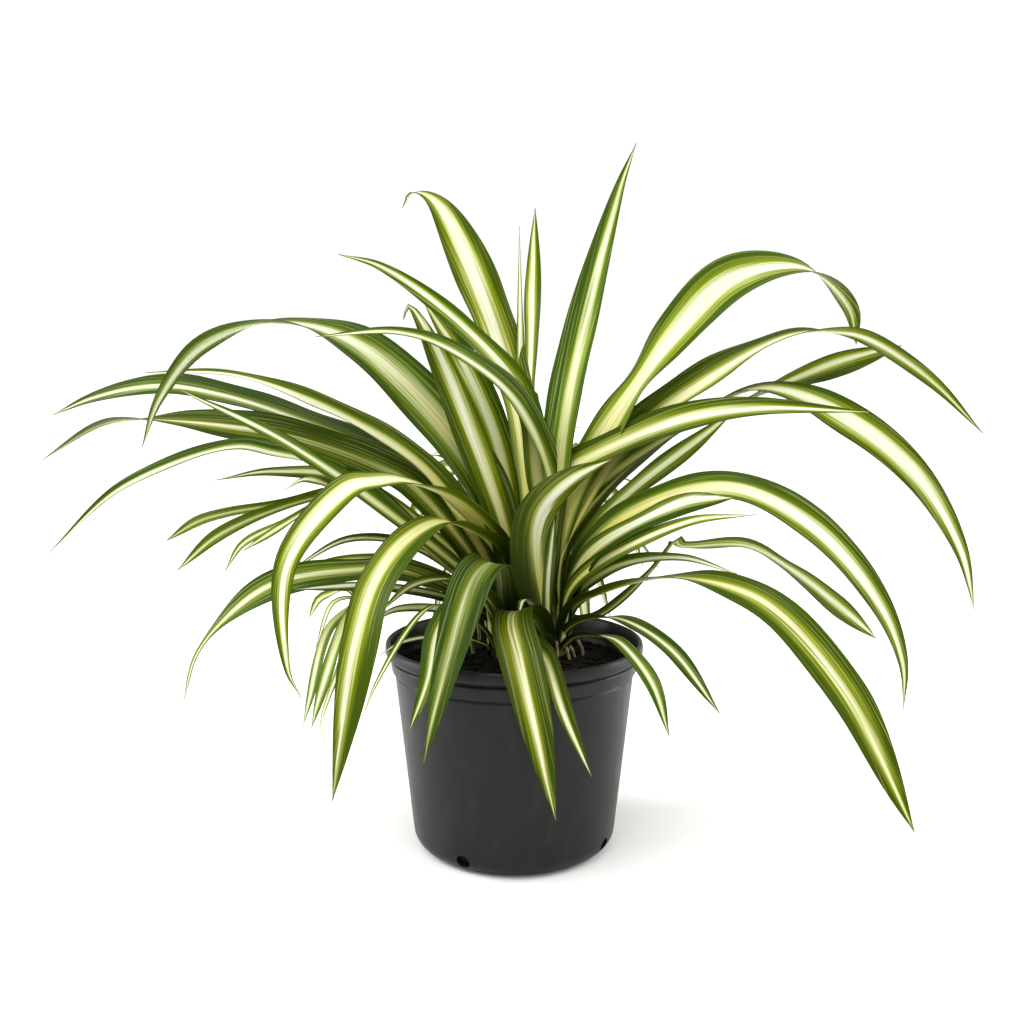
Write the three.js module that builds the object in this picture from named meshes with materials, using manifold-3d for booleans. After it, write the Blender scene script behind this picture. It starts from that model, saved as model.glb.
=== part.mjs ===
// Potted spider plant: three rosettes of arching striped leaves and two young plants on
// runners, in a round plastic nursery pot filled with soil.
// Units are millimetres, +Z is up, and the origin is the centre of the pot's underside.
import * as THREE from 'three';
import { mergeVertices } from 'three/addons/utils/BufferGeometryUtils.js';
import Module from 'manifold-3d';

const wasm = await Module();
wasm.setup();

// Driving dimensions of the pot
const LIP_RADIUS = 82.5;
const POT_HEIGHT = 134;
const BODY_TOP_RADIUS = 76.4;
const BODY_TOP_Z = 113.6;
const BODY_LOW_RADIUS = 65.4;
const CORNER_RADIUS = 12;
const CORNER_FROM_DEG = -90;
const CORNER_TO_DEG = -4;
const OUTER_CORNER_STEPS = 4;
const INNER_CORNER_STEPS = 3;
const WALL = 1.8;
const FLOOR = 3;
const DRAIN_RADIUS = 4.6;
const DRAIN_LENGTH = 14;
const DRAIN_SIDES = 14;
const DRAIN_TILT_DEG = 18;
const DRAIN_FIRST_DEG = -119;
const DRAIN_COUNT = 4;
const ROUND_SIDES = 44;
const FIT_GAP = 0.3;
const WELD = 1e-4;

// The outline of the pot's band and rolled lip as [radius, z], up the outside and down the inside
const RIM_OUTSIDE = [
  [75.8, 115.2],
  [78.2, 116.4],
  [79.2, 124],
  [78.2, 125],
  [79.4, 126.2],
  [81.9, 127.4],
  [LIP_RADIUS, 130.4],
  [81.7, 133.4],
  [80.5, POT_HEIGHT],
];
const RIM_INSIDE = [
  [79.1, 133.5],
  [77.9, 129],
  [76.6, 120],
];

// Driving dimensions of the soil and of the plants that stand in it
const SOIL_EDGE_RADIUS = 74.8;
const SOIL_EDGE_Z = 117.5;
const SOIL_MID_Z = 123;
const SOIL_HUMP = [
  [66, 119.4],
  [52, 121],
  [36, 122.2],
  [18, SOIL_MID_Z],
];
const RIPPLE_HEIGHT = 0.7;
const RIPPLE_ACROSS = { perMm: 0.21, start: 1.3 };
const RIPPLE_ALONG = { perMm: 0.17, start: -0.6 };
const HOLE_TOP_Z = 140;
const CROWN_FOOT_Z = 107;
const CROWN_TOP_Z = 150;
const CROWN_RADIUS = 12.5;
const CROWN_SIDES = 12;
const CROWN_SHARES = { foot: 0.8, shoulder: 0.85, top: 0.5, round: 0.3 };
const CROWN_HOLE_RADIUS = 15.5;
const CROWN_HOLE_SIDES = 24;
const RIGHT_CROWN = [24, 12];
const LEFT_CROWN = [-6, 6];
const BACK_CROWN = [8, 40];
const RUNNER_RADIUS = 1.3;
const RUNNER_HOLE_RADIUS = 1.75;
const RUNNER_HOLE_SIDES = 10;
const RUNNER_STEPS = 9;
const YOUNG_FOOT_RADIUS = 3;
const YOUNG_FOOT_HALF_HEIGHT = 4;
const YOUNG_FOOT_SIDES = 8;

// Driving dimensions of a leaf
const LEAF_THICKNESS = 0.8;
const LEAF_ROOT_Z = 122;
const ROOT_WIDTH_SHARE = 0.5;
const TAPER_POWER = 1.7;
const CHANNEL_DEPTH = 0.16;
const CHANNEL_AT_ROOT = 1.6;
const TIP_WIDTH = 1.3;
const RING_STEP = 44;
const MEASURE_STEPS = 10;
const LINE_DIVISIONS = 400;

// Each leaf is: a name, its full width, the share of its length where it starts to narrow,
// its roll in degrees at even steps from root to tip, and the points that its midrib runs
// through, as x, y, z.
const RIGHT_LEAVES = [
  ['right low arch', 23, 0.75, [-18, -15, -6, 32, 44, 36, 64],
    [[30, 8, 122], [37, 2, 153.5], [55, -11, 166.5], [91, -38, 182], [127.5, -71, 182],
      [149.5, -87, 171], [183, -113, 131.5], [215, -137, 62.5]]],
  ['right low short', 13, 0.45, [65, 65, 60, 40, 25, 20, 30],
    [[30, 8, 122], [34, 5, 155], [60, -11, 182], [100, -37, 194], [131, -58, 188]]],
  ['right kinked', 16, 0.85, [12, 12, -18, -42, -12, -50, -75],
    [[30, 14, 122], [32, 16, 139.5], [57, 22, 144.5], [90.5, 32, 171.5], [108.5, 39, 191.5],
      [110, 41, 188], [157.5, 54, 185.5], [188, 66, 169], [260.5, 90, 111]]],
  ['right rim', 13, 0.65, [-22, -25, -18, 11, 10, 26, 40],
    [[28, 7, 122], [34, 0, 140.5], [60, -33, 156], [90.5, -68, 146], [116, -96, 115.5]]],
  ['right rim short', 11, 0.7, [-22, -25, -20, 5, 5, 22, 25],
    [[28, 6, 122], [38, -12, 138], [57, -43, 146], [65, -58, 144.5], [80, -84, 127.5],
      [87.5, -97, 102.5]]],
  ['right middle arch', 21, 0.65, [82, 75, 52, 45, 48, 42, 35],
    [[30, 9, 122], [33, 7, 150], [44.5, 2, 189], [75.5, -11, 220], [128.5, -43, 238],
      [172.5, -61, 218.5], [208.5, -78, 176], [222, -84, 142], [223.5, -85, 113.5]]],
  ['right middle', 19, 0.7, [80, 80, 75, 50, 35, 60, 75],
    [[30, 8, 122], [33, 6, 152], [48, -5, 188], [99, -42, 226], [127, -63, 234]]],
  ['right middle thin', 12, 0.35, [75, 73, 68, 68, 68, 65, 52],
    [[29, 7, 122], [34, 3, 161], [48, -9, 181.5], [100.5, -54, 218], [135.5, -86, 227.5]]],
  ['right level', 23, 0.45, [60, 60, 45, 45, 70, 55, 60],
    [[29, 10, 122], [24, 12, 157], [20, 14, 196], [31, 10, 239], [48, 5, 251], [105, -11, 277],
      [148, -24, 284], [209, -41, 282]]],
  ['front broad', 27, 0.45, [15, 15, 15, 0, -35, -55, -55],
    [[20, 7, 122], [16, -3, 153], [11, -16, 188], [11, -24, 209], [16, -34, 225],
      [34, -54, 245], [56, -68, 257]]],
  ['right wide arch', 22, 0.65, [68, 55, 22, -8, 75, 102, 95],
    [[30, 11, 122], [26.5, 11, 157], [36.5, 10, 206], [47.5, 8, 226], [103.5, 6, 267],
      [153, 0, 294], [204, -17, 276], [246, -22, 242], [273, -27, 197.5], [283, -29, 159.5]]],
  ['right behind', 20, 0.82, [47, 42, 28, 12, -15, 40, 104],
    [[30, 13, 122], [25, 12, 153], [30.5, 13, 186.5], [87.5, 18, 254], [201, 27, 305],
      [250, 32, 320]]],
  ['right long arch', 29, 0.45, [43, 40, 30, 36, 8, -42, -70],
    [[29, 12, 122], [25, 12, 157], [30, 12, 196], [69, 9, 259], [103.5, 7, 290], [171, 2, 327],
      [200.5, 0, 328.5], [218.5, -2, 324], [259, -4, 298], [291, -6, 266.5]]],
  ['right high arch', 32, 0.8, [38, 40, 48, 18, 70, 20, -52],
    [[28, 13, 122], [25, 12, 163], [29.5, 12, 203], [40.5, 13, 233.5], [102, 16, 327.5],
      [136.5, 18, 362], [184.5, 20, 368], [213, 22, 343.5], [218, 22, 321]]],
  ['heart short', 11, 0.6, [30, 30, 30, 25, 15, 5, 0],
    [[23, 5, 122], [21, -3, 167], [25, -10, 214]]],
  ['tall upright', 25, 0.45, [30, 32, 37, 30, 58, 66, 55],
    [[28, 18, 122], [22, 14, 157.5], [32, 17, 283.5], [65, 32, 414.5], [77.5, 38, 447.5]]],
  ['crossing broad', 22, 0.45, [-65, -65, -60, -55, -45, -30, -35],
    [[18, 10, 122], [25, 12, 196], [27, 12, 229], [4, 2, 285], [-36, -16, 318], [-69, -27, 329],
      [-116, -42, 326]]],
  ['crossing high', 22, 0.45, [-60, -60, -58, -58, -52, -72, -90],
    [[18, 12, 122], [19, 11, 196], [15, 10, 235], [5.5, 9, 287.5], [-34, 2, 334],
      [-81, -7, 368], [-106, -11, 375]]],
  ['front hanging broad', 26, 0.5, [5, 5, 10, 15, 10, 5, 5],
    [[20, 6, 122], [17, -10, 141], [10, -24, 155], [1, -38, 161], [-1, -56, 157], [4, -80, 143],
      [11, -100, 116], [23, -115, 60]]],
  ['front hanging narrow', 11, 0.65, [30, 30, 40, 40, 30, 30, 30],
    [[25, 5, 122], [23, -12, 135], [14, -36, 144], [15, -56, 144], [20, -77, 142],
      [29, -98, 116], [43, -109, 83]]],
  ['front curled', 9, 0.45, [5, 5, 5, 10, 30, 5, -40],
    [[22, 5, 122], [20, -2, 138], [14, -14, 154], [9, -22, 163], [5, -30, 166], [2, -38, 154]]],
];
const LEFT_LEAVES = [
  ['front falling broad', 25, 0.45, [-15, -15, -10, -20, -20, -5, -5],
    [[-8, 0, 122], [-9, -6, 154], [-12, -30, 188], [-18, -46, 191], [-25, -58, 184],
      [-42, -107, 127], [-50, -117, 94]]],
  ['front falling', 15, 0.65, [-10, -10, 10, 5, 5, -20, -25],
    [[-10, 0, 122], [-8, -8, 146], [-21, -38, 173], [-32, -54, 173], [-44, -76, 158],
      [-49, -94, 134], [-59, -102, 107]]],
  ['left falling broad', 27, 0.6, [0, 2, 2, -8, -10, -45, -45],
    [[-11, 2, 122], [-5, 8, 160], [-7, 6, 183], [-14, -3, 197], [-27, -18, 208],
      [-41, -33, 215], [-54.5, -46, 211.5], [-68, -57, 201], [-79.5, -68, 183],
      [-88, -80, 153], [-95, -92, 114], [-103, -102, 66]]],
  ['left falling', 23, 0.4, [25, 22, 15, -14, -46, -60, -68],
    [[-12, 2, 122], [-5.5, 8, 165], [-10, 4, 193.5], [-37.5, -15, 225.5], [-67, -35, 240.5],
      [-82.5, -47, 241], [-97, -57, 238.5], [-130, -76, 198.5], [-131, -79, 136.5],
      [-124, -75, 118]]],
  ['left low arch', 19, 0.65, [-52, -50, -38, -38, -62, 7, -24],
    [[-13, 4, 122], [-9.5, 5, 144.5], [-22.5, 0, 158.5], [-71, -18, 181.5], [-95.5, -26, 183.5],
      [-143, -44, 179], [-170.5, -54, 161], [-188, -60, 139.5], [-196.5, -63, 110]]],
  ['left upright', 21, 0.6, [-80, -80, -80, -80, -80, -90, -90],
    [[-12, 5, 122], [-3, 8, 164], [-5, 6, 191], [-54, -12, 329], [-64, -15, 344],
      [-67, -16, 336]]],
  ['left high arch', 33, 0.5, [-52, -57, -73, -63, -12, 38, 36],
    [[-13, 5, 122], [-4.5, 7, 165], [-5, 6, 192.5], [-23.5, 3, 243], [-95, -5, 320],
      [-147, -11, 334.5], [-189.5, -16, 320], [-215, -20, 289], [-227, -21, 259]]],
  ['left long upper', 21, 0.4, [-35, -35, -31, -22, -30, -15, -57],
    [[-13, 7, 122], [-6, 6, 158], [-50.5, 10, 238.5], [-103.5, 16, 275], [-179, 25, 302],
      [-238, 30, 303]]],
  ['left long behind', 21, 0.65, [-42, -40, -40, -28, -30, -58, -73],
    [[-12, 9, 122], [-6.5, 8, 155], [-16, 10, 184], [-56.5, 18, 239], [-104.5, 28, 260.5],
      [-194.5, 48, 289], [-238.5, 59, 294], [-286.5, 71, 285], [-318.5, 78, 272]]],
  ['left long level', 25, 0.75, [-55, -55, -55, -50, -44, 12, 8],
    [[-13, 6, 122], [-8, 6, 150], [-63, 7, 231], [-85, 7, 244], [-147, 8, 265.5],
      [-239, 10, 274], [-263.5, 11, 270], [-301, 11, 248]]],
  ['left straight', 12, 0.55, [-60, -60, -45, -45, -55, -75, -75],
    [[-13, 4, 122], [-9, 6, 150], [-19, 2, 165], [-132, -30, 260], [-196, -48, 296]]],
  ['left long thin', 15, 0.45, [-48, -45, -40, -27, -30, -55, -62],
    [[-13, 5, 122], [-6.5, 6, 146.5], [-44, 2, 185], [-110.5, -5, 244.5], [-149, -9, 256],
      [-172.5, -11, 260], [-240, -19, 236], [-287, -23, 194]]],
  ['left low', 12, 0.7, [-45, -45, -45, -30, -30, -45, -60],
    [[-13, 4, 122], [-12, 5, 147], [-31, 0, 165], [-56, -7, 180], [-81, -13, 187],
      [-119, -22, 185], [-145, -29, 171]]],
  ['left low thin', 9, 0.6, [-50, -50, -45, -30, -25, -50, -60],
    [[-12, 3, 122], [-13, 2, 142], [-31, -6, 157], [-79, -30, 174], [-130, -54, 178]]],
  ['left inner', 9, 0.5, [0, 0, 20, 10, -35, -55, -55],
    [[-11, 1, 122], [-12, 0, 142], [-31, -16, 174], [-60, -42, 179], [-80, -61, 165]]],
  ['left rim thin', 6, 0.45, [12, 15, 18, 10, -2, -17, -24],
    [[-11, 0, 122], [-17, -10, 140], [-39, -41, 165], [-53, -60, 166.5], [-78, -96, 132.5],
      [-85, -107, 115]]],
  ['left rim thread', 5, 0.5, [-35, -35, -25, -15, -25, -50, -55],
    [[-12, 2, 122], [-16, -2, 129], [-28, -9, 136], [-52, -25, 142], [-70, -37, 141],
      [-82, -46, 135]]],
];
const BACK_LEAVES = [
  ['back tall broad', 30, 0.7, [-25, -25, -22, -22, -34, -58, 8],
    [[3, 43, 122], [11, 38, 151], [13, 36, 199], [1, 43, 289.5], [-52, 74, 414.5],
      [-69, 83, 422], [-76, 88, 412.5]]],
  ['back upright', 14, 0.75, [-40, -40, -40, -45, -50, -15, 2],
    [[10, 46, 122], [18, 48, 149], [11, 58, 284], [12, 60, 317], [14, 69, 410.5]]],
  ['back upright thin', 12, 0.35, [25, 25, 28, 28, 25, 38, 43],
    [[6, 46, 122], [8.5, 44, 150], [4, 52, 317], [3.5, 58, 398]]],
  ['back left upright', 20, 0.75, [-50, -50, -45, -55, -55, -60, -70],
    [[2, 41, 122], [4, 41, 150], [-5, 42, 242], [-33, 47, 311], [-60, 52, 350]]],
  ['back right', 17, 0.65, [35, 32, 28, 25, 32, 70, 72],
    [[14, 41, 122], [31.5, 44, 149.5], [54, 48, 197.5], [130, 61, 261], [149.5, 65, 276]]],
  ['back left thin', 14, 0.5, [-35, -37, -38, -46, -56, -57, -48],
    [[2, 41, 122], [-6, 42, 143], [-107.5, 56, 227], [-164.5, 65, 234.5], [-206, 70, 228]]],
  ['back left short', 9, 0.65, [-50, -48, -43, -35, -25, -30, -52],
    [[2, 39, 122], [-12.5, 37, 144], [-61.5, 30, 187], [-107.5, 24, 195], [-144.5, 19, 176]]],
  ['back left low', 8, 0.6, [-35, -35, -35, -35, -30, -55, -60],
    [[2, 37, 122], [-9, 32, 136], [-36, 20, 147], [-76, 1, 153], [-90, -6, 146]]],
];
const UPPER_YOUNG = [
  ['young upper 1', 7, 0.8, [-65, -58, -52, -53, -63, -75, -75],
    [[-114, 30, 226], [-119.5, 29, 227], [-150, 23, 219], [-185.5, 17, 213.5],
      [-204.5, 14, 208], [-223.5, 11, 196]]],
  ['young upper 2', 9, 0.7, [-50, -48, -45, -45, -62, -72, -72],
    [[-114, 30, 226], [-149.5, 17, 217.5], [-188.5, 4, 201], [-212.5, -6, 180]]],
  ['young upper 3', 7, 0.6, [-43, -33, -20, -17, -23, -55, -49],
    [[-114, 30, 226], [-144, 7, 210], [-170.5, -9, 197], [-180, -16, 181.5]]],
  ['young upper 4', 6, 0.65, [-22, -18, -8, 11, -26, -40, -40],
    [[-114, 30, 226], [-135, -4, 215], [-162.5, -42, 199]]],
  ['young upper 5', 6, 0.45, [-8, -15, -22, -42, -50, -28, -48],
    [[-114, 30, 226], [-130, 39, 230.5], [-141.5, 47, 231], [-155.5, 53, 223]]],
];
const LOWER_YOUNG = [
  ['young lower 1', 8, 0.6, [-42, -35, -32, -12, -10, -30, -35],
    [[-101, 10, 157], [-102, 6, 155], [-117, -5, 142.5], [-129, -18, 99.5], [-133, -20, 84]]],
  ['young lower 2', 9, 0.6, [-10, 0, 10, 10, 0, -15, -20],
    [[-101, 10, 157], [-108, -10, 146], [-118, -36, 111], [-123, -49, 91]]],
  ['young lower 3', 7, 0.3, [15, 18, 15, 15, 20, 32, 18],
    [[-101, 10, 157], [-105, -6, 135], [-111, -12, 117], [-118, -16, 98.5], [-122, -18, 83],
      [-118, -20, 62]]],
  ['young lower 4', 5, 0.4, [-32, -25, -10, -2, -28, -42, -47],
    [[-101, 10, 157], [-104.5, 8, 159], [-116, 3, 157], [-127, -2, 129]]],
  ['young lower 5', 7, 0.65, [-18, -18, -25, -42, -52, -92, -94],
    [[-101, 10, 157], [-108, 12, 164], [-119.5, 17, 160], [-128, 20, 155.5], [-135, 22, 143]]],
];

// The routes of the two runners, from the soil to the young plants.
const UPPER_RUNNER = [
  [-24, 50, 108], [-24, 50, 126], [-29, 52, 160], [-42, 52.5, 200], [-64, 48, 220],
  [-92, 38, 232], [-114, 30, 226],
];
const LOWER_RUNNER = [
  [-27, 8, 108], [-27, 8, 126], [-34, 9, 146], [-55, 12, 165], [-82, 12, 170], [-101, 10, 157],
];

// The leaves at the back of the pot, each set by its heading from the back crown in degrees,
// its reach, the height of its highest place, the height of its tip, and its full width.
const BACK_ARCHES = [
  [90, 190, 285, 250, 22],
  [75, 215, 240, 130, 24],
  [105, 220, 245, 120, 23],
  [60, 190, 215, 140, 20],
  [120, 200, 230, 130, 21],
  [91, 150, 200, 62, 18],
  [70, 150, 186, 72, 17],
  [110, 160, 190, 60, 19],
  [45, 150, 228, 190, 16],
  [135, 145, 243, 215, 17],
  [84, 120, 270, 258, 15],
  [100, 92, 300, 297, 13],
  [54, 104, 180, 118, 12],
  [127, 112, 184, 108, 13],
  [80, 235, 226, 92, 21],
  [97, 245, 214, 72, 22],
  [31, 108, 200, 160, 11],
  [150, 118, 188, 150, 12],
  [58, 72, 262, 262, 12],
];

// The route of such a leaf: shares of its reach, with the share of its rise or of its drop
// that it has made there.
const ARCH_START = 5;
const ARCH_RISE = [[0.07, 0.45], [0.26, 0.86]];
const ARCH_PEAK = 0.5;
const ARCH_DROP = [0.78, 0.34];
const ARCH_BELLY = 0.5;
const ARCH_ROLLS = [0, 15, 25, 10, -20];

// A closed solid from plain triangles.
function toSolid(geometry) {
  const plain = geometry.clone();
  plain.deleteAttribute('normal');
  plain.deleteAttribute('uv');
  const welded = mergeVertices(plain, WELD);
  return new wasm.Manifold(new wasm.Mesh({
    numProp: 3,
    vertProperties: new Float32Array(welded.attributes.position.array),
    triVerts: new Uint32Array(welded.index.array),
  }));
}

function toGeometry(solid) {
  const mesh = solid.getMesh();
  const geometry = new THREE.BufferGeometry();
  geometry.setAttribute('position', new THREE.BufferAttribute(mesh.vertProperties, 3));
  geometry.setIndex(new THREE.BufferAttribute(mesh.triVerts, 1));
  geometry.computeVertexNormals();
  return geometry;
}

function joined(solids) {
  return solids.reduce((all, next) => all.add(next));
}

// Fills the small pockets that crossing blades close off between them: a pocket's skin is a
// separate shell that faces inwards, so its volume is negative, and it is left out.
function withoutPockets(geometry) {
  const { array } = geometry.attributes.position;
  const index = Array.from(geometry.index.array);
  const parent = Array.from({ length: array.length / 3 }, (_, i) => i);
  const find = (i) => {
    let top = i;
    while (parent[top] !== top) {
      parent[top] = parent[parent[top]];
      top = parent[top];
    }
    return top;
  };
  for (let i = 0; i < index.length; i += 3) {
    parent[find(index[i + 1])] = find(index[i]);
    parent[find(index[i + 2])] = find(index[i]);
  }
  const vertex = (i) => new THREE.Vector3().fromArray(array, index[i] * 3);
  const volumes = new Map();
  for (let i = 0; i < index.length; i += 3) {
    const shell = find(index[i]);
    const six = vertex(i).dot(vertex(i + 1).cross(vertex(i + 2)));
    volumes.set(shell, (volumes.get(shell) ?? 0) + six);
  }
  const kept = [];
  for (let i = 0; i < index.length; i += 3) {
    if (volumes.get(find(index[i])) > 0) {
      kept.push(index[i], index[i + 1], index[i + 2]);
    }
  }
  const whole = new THREE.BufferGeometry();
  whole.setAttribute('position', geometry.attributes.position);
  whole.setIndex(kept);
  const clean = mergeVertices(whole.toNonIndexed(), WELD);
  clean.computeVertexNormals();
  return clean;
}

// A turned body around the Z axis from [radius, z] points that start and end on the axis.
function turned(profile, sides = ROUND_SIDES) {
  const points = profile.map(([r, z]) => new THREE.Vector2(r, z));
  const geometry = new THREE.LatheGeometry(points, sides);
  geometry.rotateX(Math.PI / 2);
  return geometry;
}

// The round at the foot of the pot's wall, from the floor up to the wall.
function corner(centreZ, radius, steps) {
  const centreR = BODY_LOW_RADIUS - CORNER_RADIUS;
  const sweep = CORNER_TO_DEG - CORNER_FROM_DEG;
  const points = [];
  for (let i = 0; i <= steps; i += 1) {
    const a = THREE.MathUtils.degToRad(CORNER_FROM_DEG + (sweep * i) / steps);
    points.push([centreR + radius * Math.cos(a), centreZ + radius * Math.sin(a)]);
  }
  return points;
}

// The rod that a hole in the soil is cut with, from its floor to above the soil.
function uprightRod(x, y, radius, floorZ, sides) {
  const rod = new THREE.CylinderGeometry(radius, radius, HOLE_TOP_Z - floorZ, sides);
  rod.rotateX(Math.PI / 2);
  rod.translate(x, y, (floorZ + HOLE_TOP_Z) / 2);
  return rod;
}

// The inner wall of the pot, from the floor's edge up, which the soil follows with a gap.
function innerWall(inset) {
  const radius = CORNER_RADIUS - WALL - inset;
  const foot = corner(FLOOR + inset + radius, radius, INNER_CORNER_STEPS);
  return [...foot, [BODY_TOP_RADIUS - WALL - inset, BODY_TOP_Z]];
}

// Pot: thin tapered wall, round bottom corner, a banded rim and a rolled lip
function makePot() {
  const foot = corner(CORNER_RADIUS, CORNER_RADIUS, OUTER_CORNER_STEPS);
  const outside = [[0, 0], ...foot, [BODY_TOP_RADIUS, BODY_TOP_Z], ...RIM_OUTSIDE];
  const inside = [...RIM_INSIDE, ...innerWall(0).reverse(), [0, FLOOR]];
  let pot = toSolid(turned([...outside, ...inside]));
  const drainTilt = THREE.MathUtils.degToRad(DRAIN_TILT_DEG);
  const drainR = BODY_LOW_RADIUS - CORNER_RADIUS * (1 - Math.cos(drainTilt));
  const drainZ = CORNER_RADIUS * (1 - Math.sin(drainTilt));
  for (let i = 0; i < DRAIN_COUNT; i += 1) {
    const drain = new THREE.CylinderGeometry(DRAIN_RADIUS, DRAIN_RADIUS, DRAIN_LENGTH, DRAIN_SIDES);
    drain.rotateZ(Math.PI / 2 - drainTilt);
    drain.rotateX(Math.PI / 2);
    drain.translate(drainR, 0, drainZ);
    drain.rotateZ(THREE.MathUtils.degToRad(DRAIN_FIRST_DEG + (360 / DRAIN_COUNT) * i));
    pot = pot.subtract(toSolid(drain));
  }
  return toGeometry(pot);
}

// Soil: fills the pot to just under its rim, humped and a little uneven on top
function makeSoil() {
  const profile = [
    [0, FLOOR + FIT_GAP],
    ...innerWall(FIT_GAP),
    [SOIL_EDGE_RADIUS, SOIL_EDGE_Z],
    ...SOIL_HUMP,
    [0, SOIL_MID_Z],
  ];
  const body = turned(profile);
  const position = body.attributes.position;
  for (let i = 0; i < position.count; i += 1) {
    const z = position.getZ(i);
    if (z > SOIL_EDGE_Z + RIPPLE_HEIGHT) {
      const across = Math.sin(position.getX(i) * RIPPLE_ACROSS.perMm + RIPPLE_ACROSS.start);
      const along = Math.cos(position.getY(i) * RIPPLE_ALONG.perMm + RIPPLE_ALONG.start);
      position.setZ(i, z + RIPPLE_HEIGHT * across * along);
    }
  }
  let soil = toSolid(body);
  for (const [x, y] of [RIGHT_CROWN, LEFT_CROWN, BACK_CROWN]) {
    const floorZ = CROWN_FOOT_Z - FIT_GAP;
    soil = soil.subtract(toSolid(uprightRod(x, y, CROWN_HOLE_RADIUS, floorZ, CROWN_HOLE_SIDES)));
  }
  for (const [x, y, z] of [UPPER_RUNNER[0], LOWER_RUNNER[0]]) {
    const floorZ = z - FIT_GAP;
    soil = soil.subtract(toSolid(uprightRod(x, y, RUNNER_HOLE_RADIUS, floorZ, RUNNER_HOLE_SIDES)));
  }
  return toGeometry(soil);
}

// A smooth line through the given points, cut into even steps.
function evenLine(points, steps) {
  const places = points.map((p) => new THREE.Vector3(...p));
  const curve = new THREE.CatmullRomCurve3(places, false, 'centripetal');
  curve.arcLengthDivisions = LINE_DIVISIONS;
  return { line: curve.getSpacedPoints(steps), length: curve.getLength() };
}

// A closed skin over rings of equal size, with its two ends capped. Neighbouring rings are
// split along the diagonal that the flag of each side picks, so both faces fold alike.
function skin(rings, flips) {
  const size = rings[0].length;
  const positions = rings.flat().flatMap((v) => [v.x, v.y, v.z]);
  const index = [];
  for (let i = 0; i < rings.length - 1; i += 1) {
    for (let k = 0; k < size; k += 1) {
      const a = i * size + k;
      const b = i * size + ((k + 1) % size);
      const c = b + size;
      const d = a + size;
      if (flips[k]) {
        index.push(a, b, d, b, c, d);
      } else {
        index.push(a, b, c, a, c, d);
      }
    }
  }
  const last = (rings.length - 1) * size;
  for (let k = 1; k < size - 1; k += 1) {
    index.push(0, k + 1, k);
    index.push(last, last + k, last + k + 1);
  }
  const geometry = new THREE.BufferGeometry();
  geometry.setAttribute('position', new THREE.Float32BufferAttribute(positions, 3));
  geometry.setIndex(index);
  return geometry;
}

// Share of the full width at t, from root to tip: a narrow foot, a full middle, a long taper.
function widthShare(t, belly) {
  if (t < belly) {
    const grown = Math.sin((t / belly) * (Math.PI / 2));
    return ROOT_WIDTH_SHARE + (1 - ROOT_WIDTH_SHARE) * grown;
  }
  return 1 - ((t - belly) / (1 - belly)) ** TAPER_POWER;
}

function between(values, t) {
  const place = t * (values.length - 1);
  const low = Math.min(Math.floor(place), values.length - 2);
  return values[low] + (values[low + 1] - values[low]) * (place - low);
}

// One blade: a shallow channel in cross-section, carried along its midrib. At no roll its
// upper face looks up, and the roll turns it about the midrib by the right-hand rule.
function makeBlade([, width, belly, rolls, points]) {
  const measure = evenLine(points, MEASURE_STEPS).length;
  const steps = Math.max(3, Math.round(measure / RING_STEP) + 1);
  const { line } = evenLine(points, steps);
  const tip = line[steps];
  const out = new THREE.Vector3(tip.x - line[0].x, tip.y - line[0].y, 0).normalize();
  const level = new THREE.Vector3(out.y, -out.x, 0);
  const rings = line.map((p, i) => {
    const t = i / steps;
    const along = heading(line, i);
    const flat = level.clone().addScaledVector(along, -level.dot(along)).normalize();
    const up = new THREE.Vector3().crossVectors(flat, along);
    const roll = THREE.MathUtils.degToRad(between(rolls, t));
    const across = flat.clone().multiplyScalar(Math.cos(roll)).addScaledVector(up, -Math.sin(roll));
    const normal = up.clone().multiplyScalar(Math.cos(roll)).addScaledVector(flat, Math.sin(roll));
    const half = Math.max(width * widthShare(t, belly), TIP_WIDTH) / 2;
    const lift = half * CHANNEL_DEPTH * (CHANNEL_AT_ROOT - t);
    const at = (b, n) => p.clone().addScaledVector(across, b).addScaledVector(normal, n);
    return [
      at(-half, lift),
      at(0, 0),
      at(half, lift),
      at(half, lift - LEAF_THICKNESS),
      at(0, -LEAF_THICKNESS),
      at(-half, lift - LEAF_THICKNESS),
    ];
  });
  return skin(rings, [true, false, true, true, false, true]);
}

// The direction of a line of points at number i, from its neighbours on both sides.
function heading(line, i) {
  const ahead = line[Math.min(i + 1, line.length - 1)];
  const behind = line[Math.max(i - 1, 0)];
  return new THREE.Vector3().subVectors(ahead, behind).normalize();
}

// A runner: a thin round stem along a smooth line.
function makeRunner(points) {
  const { line } = evenLine(points, RUNNER_STEPS);
  const rings = line.map((p, i) => {
    const along = heading(line, i);
    const a = new THREE.Vector3(0, 1, 0);
    a.addScaledVector(along, -a.dot(along)).normalize();
    const b = new THREE.Vector3().crossVectors(along, a);
    return [0, 60, 120, 180, 240, 300].map((deg) => {
      const turn = THREE.MathUtils.degToRad(deg);
      const spot = p.clone().addScaledVector(a, RUNNER_RADIUS * Math.cos(turn));
      return spot.addScaledVector(b, RUNNER_RADIUS * Math.sin(turn));
    });
  });
  return skin(rings, [false, false, false, false, false, false]);
}

// A short thick foot that a rosette's leaves grow out of.
function makeCrown(x, y, lowZ, radius, highZ, sides) {
  const profile = [
    [0, lowZ],
    [radius * CROWN_SHARES.foot, lowZ],
    [radius, (lowZ + highZ) / 2],
    [radius * CROWN_SHARES.shoulder, highZ - radius * CROWN_SHARES.round],
    [radius * CROWN_SHARES.top, highZ],
    [0, highZ],
  ];
  const foot = turned(profile, sides);
  foot.translate(x, y, 0);
  return foot;
}

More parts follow.
